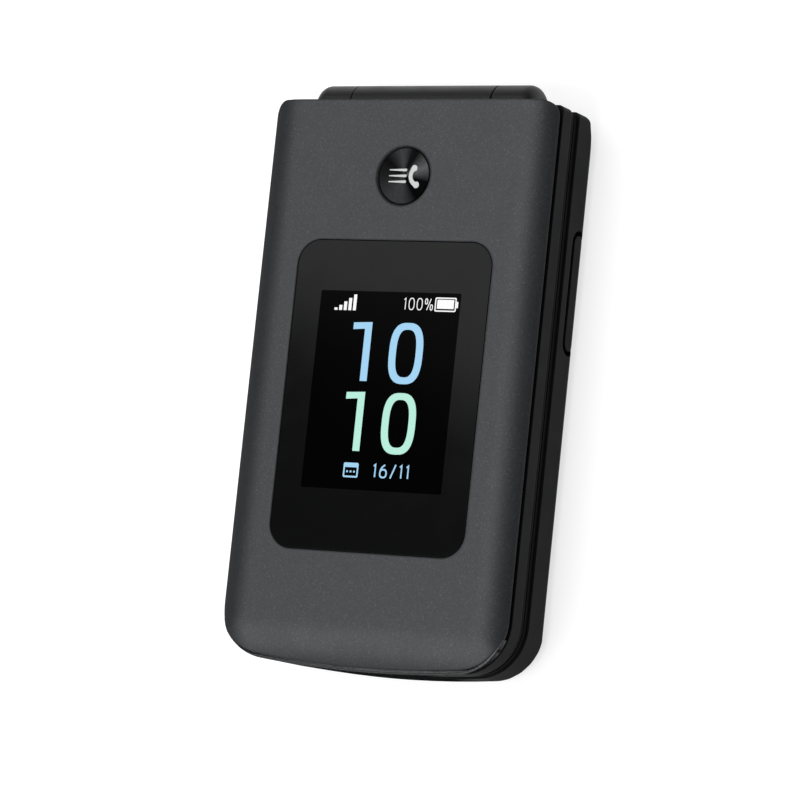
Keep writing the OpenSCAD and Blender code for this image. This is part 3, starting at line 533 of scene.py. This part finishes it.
def round_end(point, step, width):
    """Points of the half circle that closes a stroke, between its two sides."""
    angle = math.degrees(math.atan2(step.y, step.x))
    return circle(point.x, point.y, width / 2, angle + 90, angle - 90, STROKE_END_STEPS)[1:-1]


def add_row(shape, points, z):
    """Adds a row of corners at one height."""
    return [shape.verts.new((x, y, z)) for x, y in points]


def bridge(shape, row, other):
    """Joins two closed rows with a band of faces."""
    for i in range(len(row)):
        after = (i + 1) % len(row)
        shape.faces.new((row[i], row[after], other[after], other[i]))


def row_edges(shape, row):
    """The edges along a closed row."""
    return [shape.edges.get((a, b)) for a, b in zip(row, row[1:] + row[:1])]


def add_prism(shape, points, z, height):
    """Adds a flat solid that rises from z by a height."""
    low = add_row(shape, points, z)
    high = add_row(shape, points, z + height)
    shape.faces.new(low[::-1])
    shape.faces.new(high)
    bridge(shape, low, high)


def add_ring(shape, outer, inner, z, height):
    """Adds a flat ring between two outlines of the same number of points."""
    levels = ((outer, z), (outer, z + height), (inner, z + height), (inner, z))
    rows = [add_row(shape, points, level) for points, level in levels]
    for row, other in zip(rows, rows[1:] + rows[:1]):
        bridge(shape, row, other)


def add_round_ring(shape, middle, outer, inner, z, height):
    """Adds a flat round ring, given by its outer and inner radius."""
    add_ring(shape, circle(*middle, outer), circle(*middle, inner), z, height)


def add_frame(shape, middle, width, length, line, radius, inner_radius, z, height):
    """Adds a flat rectangular frame with round corners, given by its outer size and its line."""
    outer = rounded_box(*middle, width, length, radius)
    inner = rounded_box(*middle, width - 2 * line, length - 2 * line, inner_radius)
    add_ring(shape, outer, inner, z, height)


def make_piece(name, shape, material, body):
    """Turns a shape in millimetres into a piece that rides on a body."""
    bmesh.ops.recalc_face_normals(shape, faces=shape.faces)
    mesh = bpy.data.meshes.new(name)
    shape.to_mesh(mesh)
    shape.free()
    mesh.transform(Matrix.Scale(MM, 4))
    mesh.materials.append(material)
    piece = bpy.data.objects.new(name, mesh)
    bpy.context.scene.collection.objects.link(piece)
    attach(piece, body)
    return piece


# Plain figures in a box of 1 by 1: first their strokes, then their ovals (middle and size)
FIGURES = {
    "0": ((), ((0.5, 0.5, 1.0, 1.0),)),
    "1": (([(0.0, 0.86), (0.7, 1.0), (0.7, 0.0)],), ()),
    "2": ((arc(0.5, 0.72, 0.48, 0.28, 165, -35) + [(0.03, 0.0), (1.0, 0.0)],), ()),
    "3": ((arc(0.45, 0.76, 0.45, 0.24, 150, -90), arc(0.45, 0.26, 0.55, 0.26, 90, -150)), ()),
    "4": (([(0.74, 0.0), (0.74, 1.0), (0.0, 0.3)], [(0.0, 0.3), (1.0, 0.3)]), ()),
    "5": (([(0.92, 1.0), (0.14, 1.0), (0.08, 0.52)] + arc(0.46, 0.31, 0.54, 0.31, 120, -150),), ()),
    "6": ((arc(1.0, 0.31, 1.0, 0.69, 180, 105),), ((0.5, 0.31, 1.0, 0.62),)),
    "7": (([(0.0, 1.0), (1.0, 1.0), (0.35, 0.0)],), ()),
    "8": ((), ((0.5, 0.76, 0.84, 0.48), (0.5, 0.27, 1.0, 0.54))),
    "9": ((arc(0.0, 0.69, 1.0, 0.69, 0, -75),), ((0.5, 0.69, 1.0, 0.62),)),
    "*": (([(0.5, 0.8), (0.5, 0.2)], [(0.0, 0.35), (1.0, 0.65)], [(0.0, 0.65), (1.0, 0.35)]), ()),
    "#": (([(0.28, 0.1), (0.4, 0.9)], [(0.6, 0.1), (0.72, 0.9)], [(0.0, 0.36), (1.0, 0.36)],
           [(0.0, 0.64), (1.0, 0.64)]), ()),
    "/": (([(0.0, -0.05), (1.0, 1.05)],), ()),
    "%": (([(0.25, 0.0), (0.75, 1.0)],), ((0.15, 0.76, 0.3, 0.46), (0.85, 0.24, 0.3, 0.46))),
}
FIGURE_WIDTHS = {"1": 0.5, "/": 0.8, "%": 1.4}
FIGURE_GAP = 0.36


def figures(name, text, low, high, stroke, z, material, body):
    """Makes plain figures that fill the box from low to high on a flat face at z."""
    wide = [FIGURE_WIDTHS.get(mark, 1.0) for mark in text]
    unit = (high[0] - low[0]) / (sum(wide) + FIGURE_GAP * (len(text) - 1))
    shape = bmesh.new()
    left = low[0] + stroke / 2
    bottom = low[1] + stroke / 2
    tall = high[1] - low[1] - stroke
    for mark, share in zip(text, wide):
        across = share * unit - stroke
        lines, ovals = FIGURES[mark]
        # Each stroke is a little thicker than the one before, so that no two faces lie together.
        height = INK
        for line in lines:
            path = [(left + x * across, bottom + y * tall) for x, y in line]
            add_prism(shape, ribbon(path, [stroke] * len(path)), z, height)
            height += INK_STEP
        for x, y, width, length in ovals:
            middle = (left + x * across, bottom + y * tall)
            outer = oval(*middle, width * across + stroke, length * tall + stroke)
            inner = oval(*middle, width * across - stroke, length * tall - stroke)
            add_ring(shape, outer, inner, z, height)
            height += INK_STEP
        left += (share + FIGURE_GAP) * unit
    make_piece(name, shape, material, body)


def handset(x, y, size, turn):
    """Outline of a telephone handset: a bowed grip that swells to a cup at each end."""
    path = circle(0, 0, size, turn - GRIP_TURN, turn + GRIP_TURN, HANDSET_STEPS)
    middle = len(path) // 2
    shares = [abs(i - middle) / middle for i in range(len(path))]
    swell = [max(share - GRIP_EVEN, 0) / (1 - GRIP_EVEN) for share in shares]
    widths = [size * (GRIP_WIDTH + GRIP_SWELL * s * s) for s in swell]
    return ribbon([(x + px, y + py) for px, py in path], widths, round_ends=True)


# ---- Cover of the lid ----

def front_middles(half, front, corner):
    """Radius and middle of a bowed front, and the middle of its round corner."""
    bow = (half ** 2 + COVER_BOW ** 2) / (2 * COVER_BOW)
    bow_y = front + bow
    corner_x = half - corner
    corner_y = bow_y - math.sqrt((bow - corner) ** 2 - corner_x ** 2)
    return bow, bow_y, corner_x, corner_y


def front_curve(half, front, corner, stop=None):
    """Points of the right half of a bowed front and its round corner, all of it or up to y = stop."""
    bow, bow_y, corner_x, corner_y = front_middles(half, front, corner)
    lean = math.degrees(math.asin(corner_x / (bow - corner)))
    end = 0 if stop is None else math.degrees(math.asin((stop - corner_y) / corner))
    points = circle(0, bow_y, bow, -90, lean - 90, FRONT_STEPS)
    return points + circle(corner_x, corner_y, corner, lean - 90, end, CORNER_STEPS)[1:]


def cover_outline(inset):
    """The cover's outline, moved in: a bowed front, round corners and a straight back."""
    half = COVER_HALF_WIDTH - inset
    back = COVER_BACK - inset
    back_x = half - COVER_BACK_CORNER
    back_y = back - COVER_BACK_CORNER
    points = front_curve(half, COVER_FRONT + inset, COVER_FRONT_CORNER - inset)
    side_y = points[-1][1]
    points += [(half, side_y + (back_y - side_y) * i / SIDE_STEPS) for i in range(1, SIDE_STEPS + 1)]
    points += circle(back_x, back_y, COVER_BACK_CORNER, 0, 90, BACK_CORNER_STEPS)[1:]
    points += [(back_x * (1 - i / BACK_STEPS), back) for i in range(1, BACK_STEPS + 1)]
    return points + [(-x, y) for x, y in points[-2:0:-1]]


def cover_height(x, y):
    """Height of the cover's face, where the rolls of sides, end and corners run into each other."""
    total = 0.0
    reaches = ((abs(x), SIDE_ROLL), (-y, END_ROLL), ((abs(x) - y) / math.sqrt(2), CORNER_ROLL))
    for reach, (start, radius) in reaches:
        over = max(reach - start, 0.0)
        total += (radius - math.sqrt(radius ** 2 - over ** 2)) ** ROLL_BLEND
    return COVER_TOP - total ** (1 / ROLL_BLEND)


def add_roll_row(shape, points, drop=0.0):
    """Adds a row of corners on the cover's rolled face, or a little under it."""
    return [shape.verts.new((x, y, cover_height(x, y) - drop)) for x, y in points]


shape = bmesh.new()
rows = [
    add_row(shape, cover_outline(COVER_WALL), COVER_UNDERSIDE),
    add_row(shape, cover_outline(0), COVER_UNDERSIDE),
]
for step in range(ROLL_STEPS + 1):
    rows.append(add_roll_row(shape, cover_outline(ROLL_REACH * step / ROLL_STEPS)))
for row, other in zip(rows, rows[1:]):
    bridge(shape, row, other)

window = rounded_box(*WINDOW_CENTRE, WINDOW_WIDTH, WINDOW_LENGTH, WINDOW_CORNER, WINDOW_CORNER_STEPS)
window_rows = [add_row(shape, window, COVER_TOP - WINDOW_DEPTH), add_row(shape, window, COVER_TOP)]
bridge(shape, *window_rows)
button_rows = [
    add_row(shape, circle(*BUTTON_CENTRE, BUTTON_HOLE), COVER_UNDERSIDE),
    add_row(shape, circle(*BUTTON_CENTRE, BUTTON_HOLE), COVER_TOP - BUTTON_CHAMFER),
    add_row(shape, circle(*BUTTON_CENTRE, BUTTON_HOLE + BUTTON_CHAMFER), COVER_TOP),
]
bridge(shape, *button_rows[:2])
bridge(shape, *button_rows[1:])
rims = [row_edges(shape, row) for row in (rows[-1], window_rows[-1], button_rows[-1])]
bmesh.ops.triangle_fill(shape, use_beauty=True, edges=sum(rims, []))
for face in shape.faces:
    face.smooth = True
# Sharp edges along the wall's foot, where the roll starts, and at the rims of the two openings
for row in rows[:3] + window_rows + button_rows:
    for edge in row_edges(shape, row):
        edge.smooth = False
cover = make_piece("cover_shell", shape, FINISHES["cover_paint"], "lid")
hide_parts("lid_cover")


# ---- Trim round the front of the cover ----

def with_mirror(points):
    """A curve that starts in the middle, with its mirror image before it."""
    return [(-x, y) for x, y in points[:0:-1]] + points


def trim_curve(inset):
    """The trim's outer edge from one end to the other, moved in."""
    half = COVER_HALF_WIDTH - inset
    return with_mirror(front_curve(half, TRIM_FRONT + inset, TRIM_CORNER - inset, TRIM_END))


# The strips run round the trim's section: outer wall, rounding, top, seam, shoulder and foot.
shape = bmesh.new()
cover_edge = front_curve(COVER_HALF_WIDTH, COVER_FRONT, COVER_FRONT_CORNER, TRIM_END + TRIM_SEAM)
seam = with_mirror([(x, y - TRIM_SEAM) for x, y in cover_edge])
strips = [add_row(shape, trim_curve(0), TRIM_FOOT)]
for step in range(TRIM_ROUND_STEPS + 1):
    turn = math.radians(90 * step / TRIM_ROUND_STEPS)
    inset = TRIM_ROUNDING * (1 - math.cos(turn))
    drop = TRIM_DROP + TRIM_ROUNDING * (1 - math.sin(turn))
    strips.append(add_roll_row(shape, trim_curve(inset), drop))
strips += [
    add_roll_row(shape, seam, TRIM_DROP),
    add_row(shape, seam, TRIM_SHOULDER),
    add_row(shape, trim_curve(TRIM_FOOT_WIDTH), TRIM_SHOULDER),
    add_row(shape, trim_curve(TRIM_FOOT_WIDTH), TRIM_FOOT),
]
for strip, other in zip(strips, strips[1:] + strips[:1]):
    for i in range(len(strip) - 1):
        shape.faces.new((strip[i], strip[i + 1], other[i + 1], other[i]))
for end in (0, -1):
    shape.faces.new([strip[end] for strip in strips])
for face in shape.faces:
    face.smooth = len(face.verts) == 4
# Sharp edges everywhere but along the rounding
for strip in strips[:2] + strips[TRIM_ROUND_STEPS + 2:]:
    for a, b in zip(strip, strip[1:]):
        shape.edges.get((a, b)).smooth = False
trim = make_piece("cover_trim", shape, FINISHES["trim_metal"], "lid")
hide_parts("lid_trim")


# ---- Casing of the base ----

CASING_MIDDLE = front_middles(COVER_HALF_WIDTH, CASING_FRONT, CASING_CORNER)[2:]


def corner_place(vert):
    """Distance and angle of a vertex about the middle of the round corner on its side."""
    x = abs(vert.co.x) - CASING_MIDDLE[0]
    y = CASING_MIDDLE[1] - vert.co.y
    return math.hypot(x, y), math.degrees(math.atan2(y, x))


def on_corner(verts):
    """Whether vertices all lie on the same round corner of the casing."""
    places = [corner_place(vert) for vert in verts]
    low, high = -CASING_SLACK, 90 + CASING_SLACK
    same_side = len({vert.co.x > 0 for vert in verts}) == 1
    return same_side and all(reach > CASING_ROUND_FROM and low < angle < high for reach, angle in places)


def wide_edges(shape):
    """Edges that run round a corner in too wide a step."""
    edges = []
    for edge in shape.edges:
        first, last = [corner_place(vert)[1] for vert in edge.verts]
        if abs(first - last) > CASING_STEP and on_corner(edge.verts):
            edges.append(edge)
    return edges


# The casing as it is in CAD, with the flats round its front corners halved, and each new point
# moved out to the arc. Its faces stay flat, because long thin ones shade badly when smooth.
shape = bmesh.new()
shape.from_mesh(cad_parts["rear_housing"].data)
shape.transform(Matrix.Scale(1 / MM, 4))
bmesh.ops.remove_doubles(shape, verts=shape.verts, dist=CASING_MERGE)
for _ in range(CASING_HALVINGS):
    for edge in wide_edges(shape):
        reach = sum(corner_place(vert)[0] for vert in edge.verts) / 2
        vert = bmesh.utils.edge_split(edge, edge.verts[0], 0.5)[1]
        side = math.copysign(1, vert.co.x)
        middle = Vector((side * CASING_MIDDLE[0], CASING_MIDDLE[1], vert.co.z))
        vert.co = middle + (vert.co - middle).normalized() * reach
    bmesh.ops.triangulate(shape, faces=[face for face in shape.faces if len(face.verts) > 3])
for face in shape.faces:
    face.smooth = False
casing = make_piece("base_casing", shape, FINISHES["shell_plastic"], "base")
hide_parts("rear_housing")


# ---- Outer screen ----

PRINT_Z = GLASS_TOP + INK_GAP

shape = bmesh.new()
area = rounded_box(*SCREEN_CENTRE, SCREEN_WIDTH, SCREEN_LENGTH, SCREEN_CORNER)
add_prism(shape, area, GLASS_TOP, INK_GAP)
make_piece("outer_screen_area", shape, SCREEN_BLACK, "lid")


def clock_figure(name, base, material):
    """Makes the figures one and nought of a clock that stand on a base line."""
    shape = bmesh.new()
    middle = (ZERO_CENTRE_X, base + ZERO_HEIGHT / 2)
    outer = oval(*middle, ZERO_WIDTH, ZERO_HEIGHT, ZERO_POWER)
    inner = oval(*middle, ZERO_WIDTH - 2 * STROKE, ZERO_HEIGHT - 2 * FLAG_HEIGHT, ZERO_POWER)
    add_ring(shape, outer, inner, PRINT_Z, INK)
    top = base + ZERO_HEIGHT - ONE_TOP_DROP
    foot = base + ONE_FOOT_RISE
    left = ONE_RIGHT - STROKE
    flag_left = ONE_RIGHT - ONE_WIDTH
    flag_top = top - FLAG_DROP
    one = [
        (ONE_RIGHT, foot), (ONE_RIGHT, top), (flag_left, flag_top),
        (flag_left, flag_top - FLAG_HEIGHT), (left, top - FLAG_HEIGHT), (left, foot),
    ]
    add_prism(shape, one, PRINT_Z, INK)
    make_piece(name, shape, material, "lid")


clock_figure("clock_hour", HOUR_BASE, GLOW_BLUE)
clock_figure("clock_minute", MINUTE_BASE, GLOW_MINT)
figures("clock_date", "16/11", DATE_LOW, DATE_HIGH, DATE_STROKE, PRINT_Z, GLOW_BLUE,
        "lid")
figures("battery_share", "100%", SHARE_LOW, SHARE_HIGH, SHARE_STROKE, PRINT_Z, GLOW_WHITE,
        "lid")

shape = bmesh.new()
for step, height in enumerate(BAR_HEIGHTS):
    bar = small_box(BAR_FIRST_X + BAR_PITCH * step, BAR_BASE + height / 2, BAR_WIDTH, height)
    add_prism(shape, bar, PRINT_Z, INK)
make_piece("signal_bars", shape, GLOW_WHITE, "lid")

# The battery: its case, its charge and the knob at its end
shape = bmesh.new()
x, y = BATTERY_CENTRE
add_frame(shape, BATTERY_CENTRE, BATTERY_WIDTH, BATTERY_HEIGHT, BATTERY_LINE, BATTERY_CORNER,
          BATTERY_INNER_CORNER, PRINT_Z, INK)
add_prism(shape, small_box(x, y + CHARGE_RISE, CHARGE_WIDTH, CHARGE_HEIGHT), PRINT_Z, INK)
add_prism(shape, small_box(x + KNOB_PLACE, y, KNOB_WIDTH, KNOB_HEIGHT), PRINT_Z, INK)
make_piece("battery_symbol", shape, GLOW_WHITE, "lid")

# The calendar: a sheet with a page cut out of it, and three days on the page
shape = bmesh.new()
sheet = rounded_box(*CALENDAR_CENTRE, CALENDAR_WIDTH, CALENDAR_HEIGHT, CALENDAR_CORNER)
page = rounded_box(*PAGE_CENTRE, PAGE_WIDTH, PAGE_HEIGHT, PAGE_CORNER)
add_ring(shape, sheet, page, PRINT_Z, INK)
for column in (-1, 0, 1):
    day = small_box(PAGE_CENTRE[0] + DAY_PITCH * column, PAGE_CENTRE[1], DAY_SIZE, DAY_SIZE)
    add_prism(shape, day, PRINT_Z, INK)
make_piece("calendar_symbol", shape, GLOW_BLUE, "lid")


# ---- Call button ----

BUTTON_FACE_Z = BUTTON_TOP + INK_GAP

shape = bmesh.new()
grip = handset(*BUTTON_HANDSET, BUTTON_HANDSET_SIZE, BUTTON_HANDSET_TURN)
add_prism(shape, grip, BUTTON_FACE_Z, BUTTON_MARK_HEIGHT)
for row in (1, 0, -1):
    y = BUTTON_CENTRE[1] + BUTTON_BAR_PITCH * row
    bar = ribbon([(BUTTON_BAR_LEFT, y), (BUTTON_BAR_RIGHT, y)], BUTTON_BAR_WIDTHS, round_ends=True)
    add_prism(shape, bar, BUTTON_FACE_Z, BUTTON_MARK_HEIGHT)
make_piece("button_symbol", shape, ICON_GREY, "call_button")


# ---- Key legends ----

LEGEND_Z = KEY_TOP + INK_GAP
MARK_NAMES = {"*": "star", "#": "hash"}

for place, mark in enumerate("123456789*0#"):
    key = "key_" + MARK_NAMES.get(mark, mark)
    row, column = divmod(place, KEY_COLUMNS)
    x = (column - 1) * KEY_PITCH_X
    y = KEY_ROW_1 - row * KEY_PITCH_Y
    half = LEGEND_ONE_HALF_WIDTH if mark == "1" else LEGEND_HALF_WIDTH
    low = (x - half, y - LEGEND_HALF_HEIGHT)
    high = (x + half, y + LEGEND_HALF_HEIGHT)
    figures(key + "_legend", mark, low, high, LEGEND_STROKE, LEGEND_Z, LEGEND_WHITE, key)


def key_mark(key, outlines, material, z=LEGEND_Z):
    """Makes a printed mark on a key out of several outlines that don't touch."""
    shape = bmesh.new()
    for outline in outlines:
        add_prism(shape, outline, z, INK)
    make_piece(key + "_mark", shape, material, key)


# Soft keys: a bar each
for key, x in (("soft_left", -SIDE_KEY_X), ("soft_right", SIDE_KEY_X)):
    ends = [(x - SOFT_BAR_HALF, SOFT_ROW), (x + SOFT_BAR_HALF, SOFT_ROW)]
    key_mark(key, [ribbon(ends, [SOFT_BAR_WIDTH] * 2, True)], LEGEND_WHITE)

# Send and end keys: a handset that leans and one that lies down. Each is shifted because the
# middle of its bow isn't the middle of its shape.
call_keys = (
    ("send_key", -KEY_PITCH_X, SEND_HANDSET_SHIFT, SEND_HANDSET_TURN, LEGEND_GREEN),
    ("end_key", KEY_PITCH_X, END_HANDSET_SHIFT, END_HANDSET_TURN, LEGEND_RED),
)
for key, x, shift, turn, ink in call_keys:
    grip = handset(x + shift[0], CALL_ROW + shift[1], CALL_HANDSET_SIZE, turn)
    key_mark(key, [grip], ink)

# Clear key: an arrow that points back
arrow_shaft = ribbon([(x, CALL_ROW) for x in CLEAR_SHAFT], [LEGEND_STROKE] * 2, True)
arrow_head = [
    (CLEAR_TIP, CALL_ROW),
    (CLEAR_NECK, CALL_ROW - CLEAR_HALF_WIDTH),
    (CLEAR_NECK, CALL_ROW + CLEAR_HALF_WIDTH),
]
key_mark("clear_key", [arrow_shaft, arrow_head], LEGEND_WHITE)

# Left shortcut: a loudspeaker with two waves
x = -SIDE_KEY_X + SPEAKER_SHIFT
y = SHORTCUT_ROW
speaker = [
    (x + SPEAKER_BACK, y - SPEAKER_SMALL), (x + SPEAKER_NECK, y - SPEAKER_SMALL),
    (x + SPEAKER_MOUTH, y - SPEAKER_LARGE), (x + SPEAKER_MOUTH, y + SPEAKER_LARGE),
    (x + SPEAKER_NECK, y + SPEAKER_SMALL), (x + SPEAKER_BACK, y + SPEAKER_SMALL),
]
waves = []
for reach in WAVE_REACHES:
    wave = circle(x + WAVE_SHIFT, y, reach, -WAVE_TURN, WAVE_TURN, WAVE_STEPS)
    waves.append(ribbon(wave, [WAVE_STROKE] * len(wave), True))
key_mark("left_shortcut", [speaker] + waves, LEGEND_WHITE)

# Right shortcut: a camera with its lens and release button
shape = bmesh.new()
middle = (SIDE_KEY_X, SHORTCUT_ROW)
button_y = SHORTCUT_ROW + SNAP_BUTTON_RISE
release = rounded_box(SIDE_KEY_X, button_y, SNAP_BUTTON_WIDTH, SNAP_BUTTON_HEIGHT, SMALL_CORNER)
add_frame(shape, middle, SNAP_WIDTH, SNAP_HEIGHT, SNAP_LINE, SNAP_CORNER, SNAP_INNER_CORNER,
          LEGEND_Z, INK)
add_round_ring(shape, middle, *SNAP_LENS, LEGEND_Z, INK)
add_prism(shape, release, LEGEND_Z, INK)
make_piece("right_shortcut_mark", shape, LEGEND_WHITE, "right_shortcut")

# Navigation ring: an arrow head for each direction, and a round mark on the centre key
arrows = []
for turn in (0, 90, 180, 270):
    c = math.cos(math.radians(turn))
    s = math.sin(math.radians(turn))
    head = [(ARROW_TIP, 0.0), (ARROW_FOOT, ARROW_HALF_WIDTH), (ARROW_FOOT, -ARROW_HALF_WIDTH)]
    arrows.append([(RING_CENTRE[0] + c * a - s * b, RING_CENTRE[1] + s * a + c * b) for a, b in head])
key_mark("nav_ring", arrows, LEGEND_WHITE, RING_TOP + INK_GAP)

shape = bmesh.new()
add_round_ring(shape, RING_CENTRE, *OK_RING, LEGEND_Z, INK)
make_piece("nav_ok_mark", shape, LEGEND_WHITE, "nav_ok")


# ---- Inside of the lid ----

shape = bmesh.new()
area = rounded_box(*INNER_SCREEN_CENTRE, INNER_SCREEN_WIDTH, INNER_SCREEN_LENGTH, SCREEN_CORNER)
add_prism(shape, area, INNER_GLASS_Z - INK_GAP, INK_GAP)
make_piece("inner_screen_area", shape, SCREEN_BLACK, "lid")

# Grille of the earpiece: a frame with slats, sunk into its slot
shape = bmesh.new()
add_frame(shape, EAR_SLOT_CENTRE, GRILLE_WIDTH, GRILLE_LENGTH, GRILLE_LINE, GRILLE_CORNER,
          GRILLE_INNER_CORNER, EAR_GRILLE_Z, GRILLE_HEIGHT)
slat_length = GRILLE_LENGTH - 2 * GRILLE_LINE
for step in range(-SLATS_PER_SIDE, SLATS_PER_SIDE + 1):
    x = EAR_SLOT_CENTRE[0] + SLAT_PITCH * step
    slat = rounded_box(x, EAR_SLOT_CENTRE[1], GRILLE_LINE, slat_length, SLAT_CORNER, SMALL_CORNER_STEPS)
    add_prism(shape, slat, EAR_GRILLE_Z + SLAT_DROP, GRILLE_HEIGHT - 2 * SLAT_DROP)
make_piece("earpiece_grille", shape, FINISHES["trim_metal"], "lid")


# ---- Camera on the back ----

shape = bmesh.new()
for outer, inner in LENS_RINGS:
    add_round_ring(shape, LENS_CENTRE, outer, inner, LENS_Z - INK, INK)
make_piece("lens_rings", shape, ICON_GREY, "base")

shape = bmesh.new()
bmesh.ops.create_uvsphere(shape, u_segments=LENS_STEPS, v_segments=LENS_STEPS // 2, radius=LENS_RADIUS)
bmesh.ops.scale(shape, vec=(1, 1, LENS_FLATNESS), verts=shape.verts)
bmesh.ops.translate(shape, vec=(*LENS_CENTRE, LENS_Z), verts=shape.verts)
make_piece("lens_dome", shape, LENS_GLASS, "base")


# ---- Studio ----

def add_lamp(name, y, length, turn, brightness):
    """Adds a soft rectangular lamp overhead; its brightness is what a mirror would show of it."""
    lamp = bpy.data.lights.new(name, "AREA")
    lamp.shape = "RECTANGLE"
    lamp.size = LAMP_WIDTH
    lamp.size_y = length
    lamp.energy = brightness * math.pi * LAMP_WIDTH * length
    holder = bpy.data.objects.new(name, lamp)
    bpy.context.scene.collection.objects.link(holder)
    holder.location = (LAMP_X, y, LAMP_HEIGHT)
    holder.rotation_euler.z = math.radians(turn)


scene = bpy.context.scene
scene.view_settings.view_transform = "Standard"

world = bpy.data.worlds.new("studio")
world.use_nodes = True
world.node_tree.nodes["Background"].inputs["Color"].default_value = (1, 1, 1, 1)
world.node_tree.nodes["Background"].inputs["Strength"].default_value = WORLD_LIGHT
scene.world = world

add_lamp("back_lamp", y=0.65, length=1.0, turn=-20, brightness=2.2)
add_lamp("front_lamp", y=-0.56, length=0.92, turn=0, brightness=2.9)

# The floor glows to the camera and in reflections, so that it looks white, and still takes shadows.
floor_material = bpy.data.materials.new("floor_white")
floor_material.use_nodes = True
floor_shader = floor_material.node_tree.nodes["Principled BSDF"]
floor_shader.inputs["Base Color"].default_value = (FLOOR_COLOR, FLOOR_COLOR, FLOOR_COLOR, 1)
floor_shader.inputs["Roughness"].default_value = FLOOR_ROUGHNESS
floor_shader.inputs["Specular IOR Level"].default_value = 0.0
floor_shader.inputs["Emission Color"].default_value = (1, 1, 1, 1)
rays = floor_material.node_tree.nodes.new("ShaderNodeLightPath")
seen = floor_material.node_tree.nodes.new("ShaderNodeMath")
link(floor_material, rays, "Is Camera Ray", seen, 0)
link(floor_material, rays, "Is Glossy Ray", seen, 1)
seen_all = floor_material.node_tree.nodes.new("ShaderNodeMath")
seen_all.use_clamp = True
link(floor_material, seen, "Value", seen_all, 0)
link(floor_material, rays, "Is Transmission Ray", seen_all, 1)
glow = floor_material.node_tree.nodes.new("ShaderNodeMath")
glow.operation = "MULTIPLY"
glow.inputs[1].default_value = FLOOR_GLOW
link(floor_material, seen_all, "Value", glow, 0)
link(floor_material, glow, "Value", floor_shader, "Emission Strength")

shape = bmesh.new()
bmesh.ops.create_grid(shape, x_segments=FLOOR_PARTS, y_segments=FLOOR_PARTS, size=FLOOR_REACH)
mesh = bpy.data.meshes.new("floor")
shape.to_mesh(mesh)
shape.free()
mesh.materials.append(floor_material)
floor = bpy.data.objects.new("floor", mesh)
scene.collection.objects.link(floor)

camera_data = bpy.data.cameras.new("camera")
camera_data.lens = CAMERA_LENS
camera_data.sensor_width = SENSOR_WIDTH
camera_data.clip_end = CAMERA_REACH
camera = bpy.data.objects.new("camera", camera_data)
scene.collection.objects.link(camera)
right = Vector(CAMERA_RIGHT)
up = Vector(CAMERA_UP)
facing = Matrix((right, up, right.cross(up))).transposed().to_4x4()
camera.matrix_world = Matrix.Translation(Vector(CAMERA_PLACE) * MM) @ facing
scene.camera = camera
